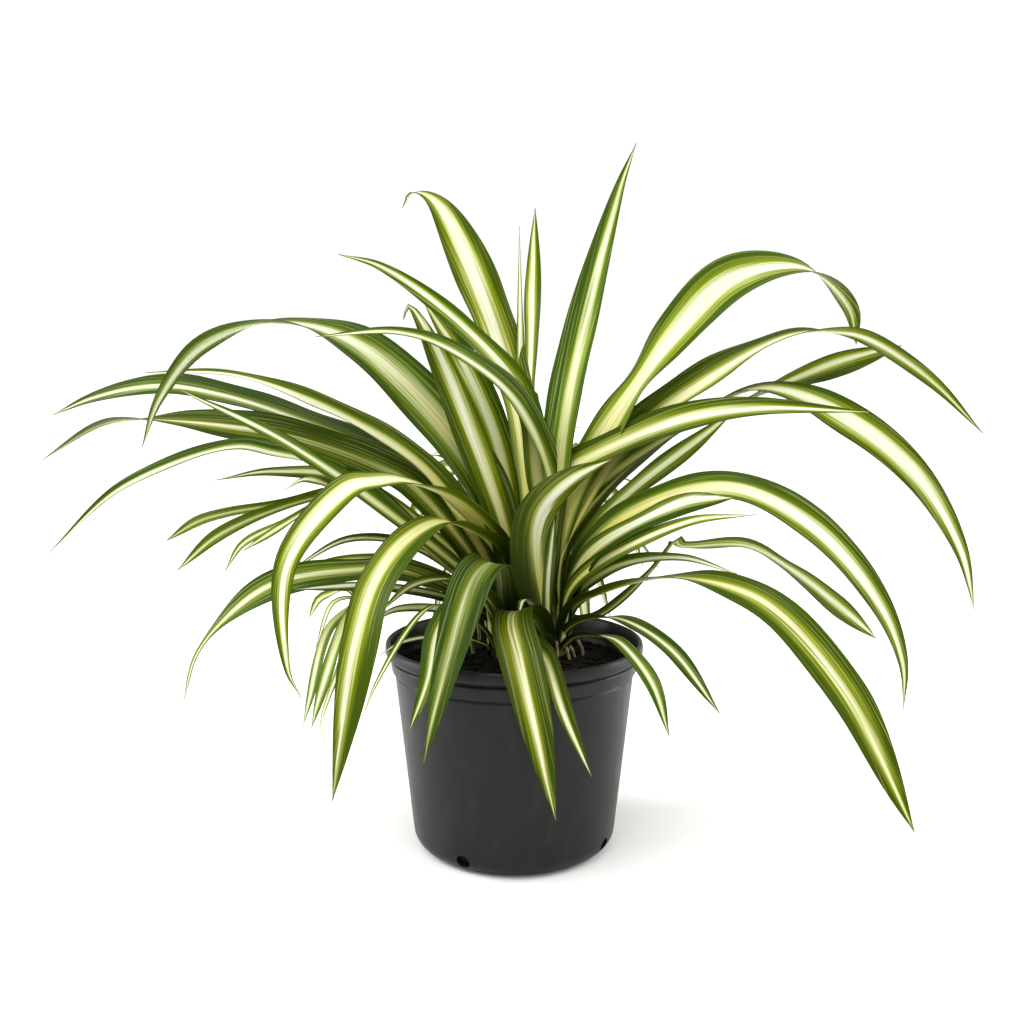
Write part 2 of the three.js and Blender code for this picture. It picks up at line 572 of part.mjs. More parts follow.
// The route of a leaf that is set by its heading and heights only.
function archLeaf([deg, reach, highZ, tipZ, width], number) {
  const a = THREE.MathUtils.degToRad(deg);
  const at = (share, z) => [
    BACK_CROWN[0] + (ARCH_START + reach * share) * Math.cos(a),
    BACK_CROWN[1] + (ARCH_START + reach * share) * Math.sin(a),
    z,
  ];
  const rise = highZ - LEAF_ROOT_Z;
  const [dropShare, dropped] = ARCH_DROP;
  const route = [
    at(0, LEAF_ROOT_Z),
    ...ARCH_RISE.map(([share, risen]) => at(share, LEAF_ROOT_Z + rise * risen)),
    at(ARCH_PEAK, highZ),
    at(dropShare, highZ - (highZ - tipZ) * dropped),
    at(1, tipZ),
  ];
  const lean = number % 2 === 0 ? 1 : -1;
  return [`arch ${number}`, width, ARCH_BELLY, ARCH_ROLLS.map((roll) => roll * lean), route];
}

function makeRosette(leaves, [x, y]) {
  const blades = leaves.map((leaf) => toSolid(makeBlade(leaf)));
  const foot = toSolid(makeCrown(x, y, CROWN_FOOT_Z, CROWN_RADIUS, CROWN_TOP_Z, CROWN_SIDES));
  return withoutPockets(toGeometry(joined([foot, ...blades])));
}

function makeYoung(leaves, route) {
  const blades = leaves.map((leaf) => toSolid(makeBlade(leaf)));
  const [x, y, z] = route[route.length - 1];
  const lowZ = z - YOUNG_FOOT_HALF_HEIGHT;
  const highZ = z + YOUNG_FOOT_HALF_HEIGHT;
  const foot = toSolid(makeCrown(x, y, lowZ, YOUNG_FOOT_RADIUS, highZ, YOUNG_FOOT_SIDES));
  return withoutPockets(toGeometry(joined([toSolid(makeRunner(route)), foot, ...blades])));
}

function matt(name, color, roughness) {
  return new THREE.MeshStandardMaterial({ name, color, roughness, metalness: 0 });
}

const potPlastic = matt('pot_plastic', 0x333331, 0.5);
const soilMix = matt('soil', 0x15110e, 1);
const leafBlade = matt('leaf_blade', 0xa9b878, 0.45);
const youngLeaf = matt('young_leaf', 0x9aab6c, 0.45);

const plant = new THREE.Group();
plant.name = 'potted_spider_plant';

function addPart(name, geometry, material) {
  const mesh = new THREE.Mesh(geometry, material);
  mesh.name = name;
  plant.add(mesh);
}

addPart('pot', makePot(), potPlastic);
addPart('soil', makeSoil(), soilMix);
addPart('right_rosette', makeRosette(RIGHT_LEAVES, RIGHT_CROWN), leafBlade);
addPart('left_rosette', makeRosette(LEFT_LEAVES, LEFT_CROWN), leafBlade);
const backLeaves = [...BACK_LEAVES, ...BACK_ARCHES.map(archLeaf)];
addPart('back_rosette', makeRosette(backLeaves, BACK_CROWN), leafBlade);
addPart('upper_young_plant', makeYoung(UPPER_YOUNG, UPPER_RUNNER), youngLeaf);
addPart('lower_young_plant', makeYoung(LOWER_YOUNG, LOWER_RUNNER), youngLeaf);

export default plant;
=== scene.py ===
# %% [markdown]
# # Potted spider plant
# The plant is three rosettes of strap leaves, grown close together in one round plastic
# pot, with two young plants on thin runners. The solids of the pot, soil and leaves are
# already there, so this script only gives them their fine surfaces. We start with the
# frame, which holds those solids.

import math

import bmesh
import bpy
import numpy as np
from mathutils import Matrix, Vector, noise


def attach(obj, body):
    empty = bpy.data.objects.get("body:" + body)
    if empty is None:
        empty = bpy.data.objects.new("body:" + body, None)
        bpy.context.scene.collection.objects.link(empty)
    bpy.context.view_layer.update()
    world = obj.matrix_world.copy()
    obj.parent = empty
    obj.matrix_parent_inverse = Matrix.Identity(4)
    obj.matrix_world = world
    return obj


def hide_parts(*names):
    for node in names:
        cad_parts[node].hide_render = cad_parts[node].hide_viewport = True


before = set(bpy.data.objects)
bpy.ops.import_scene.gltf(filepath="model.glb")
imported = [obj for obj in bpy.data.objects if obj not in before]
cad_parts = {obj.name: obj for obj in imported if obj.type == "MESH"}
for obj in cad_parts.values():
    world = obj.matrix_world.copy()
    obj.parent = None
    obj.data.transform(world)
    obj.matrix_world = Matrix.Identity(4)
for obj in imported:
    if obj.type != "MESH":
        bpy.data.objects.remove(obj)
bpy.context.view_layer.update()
MM = 0.001
print("nodes", sorted(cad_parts))

# %% [markdown]
# ## Helpers for colour, nodes and meshes
# Colours are chosen as the hex values of a paint chart, which are sRGB. The leaf
# tones were then corrected until a render was as light and as green as the photograph, by
# measured averages. Shaders work in linear light, so one function turns the hex values.
# Materials are built from nodes, and one small function adds a node and fills its inputs.


# %% Helpers
def colour(hex_text):
    """Linear RGBA from an sRGB hex value such as "3f6b1c"."""
    parts = [int(hex_text[i : i + 2], 16) / 255 for i in (0, 2, 4)]
    linear = [c / 12.92 if c <= 0.04045 else ((c + 0.055) / 1.055) ** 2.4 for c in parts]
    return (*linear, 1.0)


def add(tree, kind, inputs=None, stops=None, **options):
    """Adds a node, sets its options, and gives each input a value or a link."""
    made = tree.nodes.new(kind)
    for name, value in options.items():
        setattr(made, name, value)
    for name, value in (inputs or {}).items():
        if isinstance(value, bpy.types.NodeSocket):
            tree.links.new(value, made.inputs[name])
        else:
            made.inputs[name].default_value = value
    if stops:
        elements = made.color_ramp.elements
        while len(elements) < len(stops):
            elements.new(0.5)
        for element, (place, tone) in zip(elements, stops):
            element.position = place
            element.color = tone
    return made


def new_material(name):
    """An empty node material with its surface shader joined to the output."""
    made = bpy.data.materials.new(name)
    made.use_nodes = True
    tree = made.node_tree
    tree.nodes.clear()
    shader = add(tree, "ShaderNodeBsdfPrincipled")
    add(tree, "ShaderNodeOutputMaterial", {"Surface": shader.outputs["BSDF"]})
    return made, tree, shader


def mesh_object(name, vertices, faces, material, layers=None):
    """A smooth mesh object from arrays, with a UV layer for each named pair of values."""
    data = bpy.data.meshes.new(name)
    data.from_pydata([tuple(v) for v in vertices], [], [tuple(f) for f in faces])
    corners = np.zeros(len(data.loops), np.int32)
    data.loops.foreach_get("vertex_index", corners)
    for layer_name, values in (layers or {}).items():
        layer = data.uv_layers.new(name=layer_name)
        layer.data.foreach_set("uv", np.asarray(values, np.float32)[corners].ravel())
    data.materials.append(material)
    data.shade_smooth()
    made = bpy.data.objects.new(name, data)
    bpy.context.scene.collection.objects.link(made)
    return made


def noise_at(tree, size, detail, stretch=(1, 1, 1)):
    """A noise whose features are about as large as size, in metres."""
    place = add(tree, "ShaderNodeTexCoord").outputs["Object"]
    scale = tuple(s / size for s in stretch)
    longer = add(tree, "ShaderNodeVectorMath", {0: place, 1: scale}, operation="MULTIPLY")
    inputs = {"Vector": longer.outputs[0], "Scale": 1.0, "Detail": detail}
    return add(tree, "ShaderNodeTexNoise", inputs).outputs["Fac"]


def paint(tree, shader, factor, *stops):
    """Colours the shader by a ramp with a hex value at each stop of the factor."""
    stops = [(place, colour(hex_text)) for place, hex_text in stops]
    tones = add(tree, "ShaderNodeValToRGB", {0: factor}, stops=stops)
    tree.links.new(tones.outputs[0], shader.inputs["Base Color"])


def relief(tree, shader, height, strength, distance_mm):
    """Gives the shader a fine relief from a height pattern."""
    inputs = {"Strength": strength, "Distance": distance_mm * MM, "Height": height}
    bump = add(tree, "ShaderNodeBump", inputs)
    tree.links.new(bump.outputs[0], shader.inputs["Normal"])


def strips(rings, sides, start=0, turned=False):
    """Four-sided faces between rings of vertices that close on themselves."""
    faces = []
    for i in range(rings - 1):
        for k in range(sides):
            a, b = start + i * sides + k, start + i * sides + (k + 1) % sides
            c, d = b + sides, a + sides
            faces.append((a, d, c, b) if turned else (a, b, c, d))
    return faces


def polar(centre, far, angle, z):
    """A point at a distance and heading from a centre, at height z."""
    return [centre[0] + far * math.cos(angle), centre[1] + far * math.sin(angle), z]


def in_metres(points):
    """The same points with millimetres turned into metres."""
    return [[v * MM for v in p] for p in points]


print("cream", [round(c, 3) for c in colour("e7e9d8")])

# %% [markdown]
# ## Camera
# The pot's lip and foot are ellipses in the photograph, and how flat each is tells how
# steeply the camera looks down. A camera 750 mm in front of the pot's axis and 327 mm up,
# tilted down by 8.4 degrees, draws both ellipses as they are. These values are rounded
# from a fit to the pot's lip, foot and drain holes. We could frame the plant by its box,
# but then the picture would not line up with the photograph.

# %% Camera
CAMERA_PLACE = (-1.4 * MM, -750 * MM, 327 * MM)
CAMERA_DOWN_DEG = 8.4
FRAME_PIXELS = 1024
FOCAL_PIXELS = 1200
SENSOR_MM = 36

camera_data = bpy.data.cameras.new("camera")
camera_data.sensor_width = SENSOR_MM
camera_data.lens = SENSOR_MM * FOCAL_PIXELS / FRAME_PIXELS
camera_data.clip_start = 0.01
camera = bpy.data.objects.new("camera", camera_data)
camera.location = CAMERA_PLACE
camera.rotation_euler = (math.radians(90 - CAMERA_DOWN_DEG), 0, 0)
bpy.context.scene.collection.objects.link(camera)
bpy.context.scene.camera = camera
print("lens", round(camera_data.lens, 2), "mm")

# %% [markdown]
# ## Light
# The plant was photographed high key: white all around, soft light from every side and
# more from above. The world is a dim white for the light it gives, and full white where it
# is seen, which is how a lit backdrop behind a shaded set works. A broad soft sun from above
# lights the leaves and the whole floor alike, so the floor melts into the backdrop. A tall
# soft lamp on each side puts the pale bands on the pot's two sides. The view transform is
# the plain one, so that white stays white.

# %% Light
WORLD_LIGHT = 0.82
WORLD_SEEN = 1.05
SUN_STRENGTH = 2.1
SUN_WIDTH_DEG = 50
SUN_PLACE = (-0.5, -0.6, 2)
LAMP_AIM = (0, 0, 0.08)
LEFT_WATTS, RIGHT_WATTS = 14, 11
scene = bpy.context.scene
scene.view_settings.view_transform = "Standard"
scene.view_settings.look = "None"
world = bpy.data.worlds.new("white studio")
world.use_nodes = True
scene.world = world
background = world.node_tree.nodes["Background"]
seen = add(world.node_tree, "ShaderNodeLightPath").outputs["Is Camera Ray"]
inputs = {"Value": seen, "To Min": WORLD_LIGHT, "To Max": WORLD_SEEN}
strength = add(world.node_tree, "ShaderNodeMapRange", inputs).outputs[0]
world.node_tree.links.new(strength, background.inputs["Strength"])
background.inputs["Color"].default_value = (1, 1, 1, 1)


def aimed(data, name, place, aim):
    """Puts a lamp at place and turns it to face aim."""
    lamp = bpy.data.objects.new(name, data)
    lamp.location = place
    lamp.rotation_euler = (Vector(aim) - Vector(place)).to_track_quat("-Z", "Y").to_euler()
    scene.collection.objects.link(lamp)


def soft_lamp(name, place, aim, wide, high, watts):
    """A rectangular soft lamp at place that faces aim."""
    data = bpy.data.lights.new(name, "AREA")
    data.shape = "RECTANGLE"
    data.size = wide
    data.size_y = high
    data.energy = watts
    aimed(data, name, place, aim)


overhead = bpy.data.lights.new("overhead sun", "SUN")
overhead.energy = SUN_STRENGTH
overhead.angle = math.radians(SUN_WIDTH_DEG)
aimed(overhead, "overhead sun", SUN_PLACE, (0, 0, 0))
soft_lamp("left lamp", (-1.1, 0.12, 0.35), LAMP_AIM, wide=0.35, high=1.2, watts=LEFT_WATTS)
soft_lamp("right lamp", (1.1, 0.2, 0.35), LAMP_AIM, wide=0.3, high=1.2, watts=RIGHT_WATTS)

# %% [markdown]
# ## Where every leaf runs
# A leaf is a name, its full width in millimetres, the share of its length where it starts
# to narrow, its roll in degrees at even steps from root to tip, and the points that its
# midrib runs through. The rows are the ones that the solids have. They began as readings of
# the photograph, with each depth judged, which a camera fitted to the pot turned into
# millimetres. Widths, narrowing places and rolls come from a fit to the leaf widths in
# the photograph, in places changed one by one. Most rows were then moved, by a fit to the
# leaf edges in the photograph, and rounded. The rows for the hidden back leaves were
# chosen: a heading in degrees, a reach, the height of the highest place, the height of the
# tip, and a width.

# %% Leaf routes
RIGHT_LEAVES = [
    ("right low arch", 23, 0.75, [-18, -15, -6, 32, 44, 36, 64], [
        [30, 8, 122], [37, 2, 153.5], [55, -11, 166.5], [91, -38, 182], [127.5, -71, 182],
        [149.5, -87, 171], [183, -113, 131.5], [215, -137, 62.5],
    ]),
    ("right low short", 13, 0.45, [65, 65, 60, 40, 25, 20, 30], [
        [30, 8, 122], [34, 5, 155], [60, -11, 182], [100, -37, 194], [131, -58, 188],
    ]),
    ("right kinked", 16, 0.85, [12, 12, -18, -42, -12, -50, -75], [
        [30, 14, 122], [32, 16, 139.5], [57, 22, 144.5], [90.5, 32, 171.5], [108.5, 39, 191.5],
        [110, 41, 188], [157.5, 54, 185.5], [188, 66, 169], [260.5, 90, 111],
    ]),
    ("right rim", 13, 0.65, [-22, -25, -18, 11, 10, 26, 40], [
        [28, 7, 122], [34, 0, 140.5], [60, -33, 156], [90.5, -68, 146], [116, -96, 115.5],
    ]),
    ("right rim short", 11, 0.7, [-22, -25, -20, 5, 5, 22, 25], [
        [28, 6, 122], [38, -12, 138], [57, -43, 146], [65, -58, 144.5], [80, -84, 127.5],
        [87.5, -97, 102.5],
    ]),
    ("right middle arch", 21, 0.65, [82, 75, 52, 45, 48, 42, 35], [
        [30, 9, 122], [33, 7, 150], [44.5, 2, 189], [75.5, -11, 220], [128.5, -43, 238],
        [172.5, -61, 218.5], [208.5, -78, 176], [222, -84, 142], [223.5, -85, 113.5],
    ]),
    ("right middle", 19, 0.7, [80, 80, 75, 50, 35, 60, 75], [
        [30, 8, 122], [33, 6, 152], [48, -5, 188], [99, -42, 226], [127, -63, 234],
    ]),
    ("right middle thin", 12, 0.35, [75, 73, 68, 68, 68, 65, 52], [
        [29, 7, 122], [34, 3, 161], [48, -9, 181.5], [100.5, -54, 218], [135.5, -86, 227.5],
    ]),
    ("right level", 23, 0.45, [60, 60, 45, 45, 70, 55, 60], [
        [29, 10, 122], [24, 12, 157], [20, 14, 196], [31, 10, 239], [48, 5, 251], [105, -11, 277],
        [148, -24, 284], [209, -41, 282],
    ]),
    ("front broad", 27, 0.45, [15, 15, 15, 0, -35, -55, -55], [
        [20, 7, 122], [16, -3, 153], [11, -16, 188], [11, -24, 209], [16, -34, 225], [34, -54, 245],
        [56, -68, 257],
    ]),
    ("right wide arch", 22, 0.65, [68, 55, 22, -8, 75, 102, 95], [
        [30, 11, 122], [26.5, 11, 157], [36.5, 10, 206], [47.5, 8, 226], [103.5, 6, 267],
        [153, 0, 294], [204, -17, 276], [246, -22, 242], [273, -27, 197.5], [283, -29, 159.5],
    ]),
    ("right behind", 20, 0.82, [47, 42, 28, 12, -15, 40, 104], [
        [30, 13, 122], [25, 12, 153], [30.5, 13, 186.5], [87.5, 18, 254], [201, 27, 305],
        [250, 32, 320],
    ]),
    ("right long arch", 29, 0.45, [43, 40, 30, 36, 8, -42, -70], [
        [29, 12, 122], [25, 12, 157], [30, 12, 196], [69, 9, 259], [103.5, 7, 290], [171, 2, 327],
        [200.5, 0, 328.5], [218.5, -2, 324], [259, -4, 298], [291, -6, 266.5],
    ]),
    ("right high arch", 32, 0.8, [38, 40, 48, 18, 70, 20, -52], [
        [28, 13, 122], [25, 12, 163], [29.5, 12, 203], [40.5, 13, 233.5], [102, 16, 327.5],
        [136.5, 18, 362], [184.5, 20, 368], [213, 22, 343.5], [218, 22, 321],
    ]),
    ("heart short", 11, 0.6, [30, 30, 30, 25, 15, 5, 0], [
        [23, 5, 122], [21, -3, 167], [25, -10, 214],
    ]),
    ("tall upright", 25, 0.45, [30, 32, 37, 30, 58, 66, 55], [
        [28, 18, 122], [22, 14, 157.5], [32, 17, 283.5], [65, 32, 414.5], [77.5, 38, 447.5],
    ]),
    ("crossing broad", 22, 0.45, [-65, -65, -60, -55, -45, -30, -35], [
        [18, 10, 122], [25, 12, 196], [27, 12, 229], [4, 2, 285], [-36, -16, 318], [-69, -27, 329],
        [-116, -42, 326],
    ]),
    ("crossing high", 22, 0.45, [-60, -60, -58, -58, -52, -72, -90], [
        [18, 12, 122], [19, 11, 196], [15, 10, 235], [5.5, 9, 287.5], [-34, 2, 334], [-81, -7, 368],
        [-106, -11, 375],
    ]),
    ("front hanging broad", 26, 0.5, [5, 5, 10, 15, 10, 5, 5], [
        [20, 6, 122], [17, -10, 141], [10, -24, 155], [1, -38, 161], [-1, -56, 157], [4, -80, 143],
        [11, -100, 116], [23, -115, 60],
    ]),
    ("front hanging narrow", 11, 0.65, [30, 30, 40, 40, 30, 30, 30], [
        [25, 5, 122], [23, -12, 135], [14, -36, 144], [15, -56, 144], [20, -77, 142],
        [29, -98, 116], [43, -109, 83],
    ]),
    ("front curled", 9, 0.45, [5, 5, 5, 10, 30, 5, -40], [
        [22, 5, 122], [20, -2, 138], [14, -14, 154], [9, -22, 163], [5, -30, 166], [2, -38, 154],
    ]),
]
LEFT_LEAVES = [
    ("front falling broad", 25, 0.45, [-15, -15, -10, -20, -20, -5, -5], [
        [-8, 0, 122], [-9, -6, 154], [-12, -30, 188], [-18, -46, 191], [-25, -58, 184],
        [-42, -107, 127], [-50, -117, 94],
    ]),
    ("front falling", 15, 0.65, [-10, -10, 10, 5, 5, -20, -25], [
        [-10, 0, 122], [-8, -8, 146], [-21, -38, 173], [-32, -54, 173], [-44, -76, 158],
        [-49, -94, 134], [-59, -102, 107],
    ]),
    ("left falling broad", 27, 0.6, [0, 2, 2, -8, -10, -45, -45], [
        [-11, 2, 122], [-5, 8, 160], [-7, 6, 183], [-14, -3, 197], [-27, -18, 208], [-41, -33, 215],
        [-54.5, -46, 211.5], [-68, -57, 201], [-79.5, -68, 183], [-88, -80, 153], [-95, -92, 114],
        [-103, -102, 66],
    ]),
    ("left falling", 23, 0.4, [25, 22, 15, -14, -46, -60, -68], [
        [-12, 2, 122], [-5.5, 8, 165], [-10, 4, 193.5], [-37.5, -15, 225.5], [-67, -35, 240.5],
        [-82.5, -47, 241], [-97, -57, 238.5], [-130, -76, 198.5], [-131, -79, 136.5],
        [-124, -75, 118],
    ]),
    ("left low arch", 19, 0.65, [-52, -50, -38, -38, -62, 7, -24], [
        [-13, 4, 122], [-9.5, 5, 144.5], [-22.5, 0, 158.5], [-71, -18, 181.5], [-95.5, -26, 183.5],
        [-143, -44, 179], [-170.5, -54, 161], [-188, -60, 139.5], [-196.5, -63, 110],
    ]),
    ("left upright", 21, 0.6, [-80, -80, -80, -80, -80, -90, -90], [
        [-12, 5, 122], [-3, 8, 164], [-5, 6, 191], [-54, -12, 329], [-64, -15, 344],
        [-67, -16, 336],
    ]),
    ("left high arch", 33, 0.5, [-52, -57, -73, -63, -12, 38, 36], [
        [-13, 5, 122], [-4.5, 7, 165], [-5, 6, 192.5], [-23.5, 3, 243], [-95, -5, 320],
        [-147, -11, 334.5], [-189.5, -16, 320], [-215, -20, 289], [-227, -21, 259],
    ]),
    ("left long upper", 21, 0.4, [-35, -35, -31, -22, -30, -15, -57], [
        [-13, 7, 122], [-6, 6, 158], [-50.5, 10, 238.5], [-103.5, 16, 275], [-179, 25, 302],
        [-238, 30, 303],
    ]),
    ("left long behind", 21, 0.65, [-42, -40, -40, -28, -30, -58, -73], [
        [-12, 9, 122], [-6.5, 8, 155], [-16, 10, 184], [-56.5, 18, 239], [-104.5, 28, 260.5],
        [-194.5, 48, 289], [-238.5, 59, 294], [-286.5, 71, 285], [-318.5, 78, 272],
    ]),
    ("left long level", 25, 0.75, [-55, -55, -55, -50, -44, 12, 8], [
        [-13, 6, 122], [-8, 6, 150], [-63, 7, 231], [-85, 7, 244], [-147, 8, 265.5],
        [-239, 10, 274], [-263.5, 11, 270], [-301, 11, 248],
    ]),
    ("left straight", 12, 0.55, [-60, -60, -45, -45, -55, -75, -75], [
        [-13, 4, 122], [-9, 6, 150], [-19, 2, 165], [-132, -30, 260], [-196, -48, 296],
    ]),
    ("left long thin", 15, 0.45, [-48, -45, -40, -27, -30, -55, -62], [
        [-13, 5, 122], [-6.5, 6, 146.5], [-44, 2, 185], [-110.5, -5, 244.5], [-149, -9, 256],
        [-172.5, -11, 260], [-240, -19, 236], [-287, -23, 194],
    ]),
    ("left low", 12, 0.7, [-45, -45, -45, -30, -30, -45, -60], [
        [-13, 4, 122], [-12, 5, 147], [-31, 0, 165], [-56, -7, 180], [-81, -13, 187],
        [-119, -22, 185], [-145, -29, 171],
    ]),
    ("left low thin", 9, 0.6, [-50, -50, -45, -30, -25, -50, -60], [
        [-12, 3, 122], [-13, 2, 142], [-31, -6, 157], [-79, -30, 174], [-130, -54, 178],
    ]),
    ("left inner", 9, 0.5, [0, 0, 20, 10, -35, -55, -55], [
        [-11, 1, 122], [-12, 0, 142], [-31, -16, 174], [-60, -42, 179], [-80, -61, 165],
    ]),
    ("left rim thin", 6, 0.45, [12, 15, 18, 10, -2, -17, -24], [
        [-11, 0, 122], [-17, -10, 140], [-39, -41, 165], [-53, -60, 166.5], [-78, -96, 132.5],
        [-85, -107, 115],
    ]),
    ("left rim thread", 5, 0.5, [-35, -35, -25, -15, -25, -50, -55], [
        [-12, 2, 122], [-16, -2, 129], [-28, -9, 136], [-52, -25, 142], [-70, -37, 141],
        [-82, -46, 135],
    ]),
]
BACK_LEAVES = [
    ("back tall broad", 30, 0.7, [-25, -25, -22, -22, -34, -58, 8], [
        [3, 43, 122], [11, 38, 151], [13, 36, 199], [1, 43, 289.5], [-52, 74, 414.5],
        [-69, 83, 422], [-76, 88, 412.5],
    ]),
    ("back upright", 14, 0.75, [-40, -40, -40, -45, -50, -15, 2], [
        [10, 46, 122], [18, 48, 149], [11, 58, 284], [12, 60, 317], [14, 69, 410.5],
    ]),
    ("back upright thin", 12, 0.35, [25, 25, 28, 28, 25, 38, 43], [
        [6, 46, 122], [8.5, 44, 150], [4, 52, 317], [3.5, 58, 398],
    ]),
    ("back left upright", 20, 0.75, [-50, -50, -45, -55, -55, -60, -70], [
        [2, 41, 122], [4, 41, 150], [-5, 42, 242], [-33, 47, 311], [-60, 52, 350],
    ]),
    ("back right", 17, 0.65, [35, 32, 28, 25, 32, 70, 72], [
        [14, 41, 122], [31.5, 44, 149.5], [54, 48, 197.5], [130, 61, 261], [149.5, 65, 276],
    ]),
    ("back left thin", 14, 0.5, [-35, -37, -38, -46, -56, -57, -48], [
        [2, 41, 122], [-6, 42, 143], [-107.5, 56, 227], [-164.5, 65, 234.5], [-206, 70, 228],
    ]),
    ("back left short", 9, 0.65, [-50, -48, -43, -35, -25, -30, -52], [
        [2, 39, 122], [-12.5, 37, 144], [-61.5, 30, 187], [-107.5, 24, 195], [-144.5, 19, 176],
    ]),
    ("back left low", 8, 0.6, [-35, -35, -35, -35, -30, -55, -60], [
        [2, 37, 122], [-9, 32, 136], [-36, 20, 147], [-76, 1, 153], [-90, -6, 146],
    ]),
]
UPPER_YOUNG = [
    ("young upper 1", 7, 0.8, [-65, -58, -52, -53, -63, -75, -75], [
        [-114, 30, 226], [-119.5, 29, 227], [-150, 23, 219], [-185.5, 17, 213.5], [-204.5, 14, 208],
        [-223.5, 11, 196],
    ]),
    ("young upper 2", 9, 0.7, [-50, -48, -45, -45, -62, -72, -72], [
        [-114, 30, 226], [-149.5, 17, 217.5], [-188.5, 4, 201], [-212.5, -6, 180],
    ]),
    ("young upper 3", 7, 0.6, [-43, -33, -20, -17, -23, -55, -49], [
        [-114, 30, 226], [-144, 7, 210], [-170.5, -9, 197], [-180, -16, 181.5],
    ]),
    ("young upper 4", 6, 0.65, [-22, -18, -8, 11, -26, -40, -40], [
        [-114, 30, 226], [-135, -4, 215], [-162.5, -42, 199],
    ]),
    ("young upper 5", 6, 0.45, [-8, -15, -22, -42, -50, -28, -48], [
        [-114, 30, 226], [-130, 39, 230.5], [-141.5, 47, 231], [-155.5, 53, 223],
    ]),
]
LOWER_YOUNG = [
    ("young lower 1", 8, 0.6, [-42, -35, -32, -12, -10, -30, -35], [
        [-101, 10, 157], [-102, 6, 155], [-117, -5, 142.5], [-129, -18, 99.5], [-133, -20, 84],
    ]),
    ("young lower 2", 9, 0.6, [-10, 0, 10, 10, 0, -15, -20], [
        [-101, 10, 157], [-108, -10, 146], [-118, -36, 111], [-123, -49, 91],
    ]),
    ("young lower 3", 7, 0.3, [15, 18, 15, 15, 20, 32, 18], [
        [-101, 10, 157], [-105, -6, 135], [-111, -12, 117], [-118, -16, 98.5], [-122, -18, 83],
        [-118, -20, 62],
    ]),
    ("young lower 4", 5, 0.4, [-32, -25, -10, -2, -28, -42, -47], [
        [-101, 10, 157], [-104.5, 8, 159], [-116, 3, 157], [-127, -2, 129],
    ]),
    ("young lower 5", 7, 0.65, [-18, -18, -25, -42, -52, -92, -94], [
        [-101, 10, 157], [-108, 12, 164], [-119.5, 17, 160], [-128, 20, 155.5], [-135, 22, 143],
    ]),
]
BACK_ARCHES = [
    (90, 190, 285, 250, 22),
    (75, 215, 240, 130, 24),
    (105, 220, 245, 120, 23),
    (60, 190, 215, 140, 20),
    (120, 200, 230, 130, 21),
    (91, 150, 200, 62, 18),
    (70, 150, 186, 72, 17),
    (110, 160, 190, 60, 19),
    (45, 150, 228, 190, 16),
    (135, 145, 243, 215, 17),
    (84, 120, 270, 258, 15),
    (100, 92, 300, 297, 13),
    (54, 104, 180, 118, 12),
    (127, 112, 184, 108, 13),
    (80, 235, 226, 92, 21),
    (97, 245, 214, 72, 22),
    (31, 108, 200, 160, 11),
    (150, 118, 188, 150, 12),
    (58, 72, 262, 262, 12),
]
UPPER_RUNNER = [
    [-24, 50, 108], [-24, 50, 126], [-29, 52, 160], [-42, 52.5, 200], [-64, 48, 220],
    [-92, 38, 232], [-114, 30, 226],
]
LOWER_RUNNER = [
    [-27, 8, 108], [-27, 8, 126], [-34, 9, 146], [-55, 12, 165], [-82, 12, 170], [-101, 10, 157],
]
total = sum(map(len, (RIGHT_LEAVES, LEFT_LEAVES, BACK_LEAVES, UPPER_YOUNG, LOWER_YOUNG)))
print("leaves that show", total)

# %% [markdown]
# ## Leaf finish
# A spider plant leaf is a thin, waxy strap. Its middle is cream, its two margins are
# green, and between them run fine parallel streaks where single veins are green or cream.
# Each leaf has a cream band of its own width, and the band is often off the midrib. The
# pattern follows the blade, so it is drawn from measures that the mesh carries as UV
# layers: how far a point is from the midrib and the root in metres, how far along the
# leaf it is, how far it is from the middle of the band, how wide the band is, how near
# the margin it is, whether it is on the underside, how light the leaf is painted, and two
# chance values of the leaf. On most leaves how light it is painted is a random tone; on the
# leaves whose look is stated it is painted shade where a leaf is darker and painted light
# where it is lighter. Towards the root the colour also carries painted light and shade: the
# cream band goes gold and a little darker, for light through the leaves in the crown's
# shade, and the green margins darken as painted shade. Veins are about 0.9 mm apart. That
# is under a pixel on the thin leaves, so the streaks are drawn a little coarser, at 1.1 mm.

# %% Leaf material
VEIN_STEP = 1.1 * MM
STREAK_LENGTH = 70 * MM
BLOTCH_WIDTH = 4 * MM
BLOTCH_LENGTH = 120 * MM
CROWN_SHADE_START = 4 * MM
CROWN_SHADE_END = 120 * MM
YOUNG_SHADE_END = 20 * MM


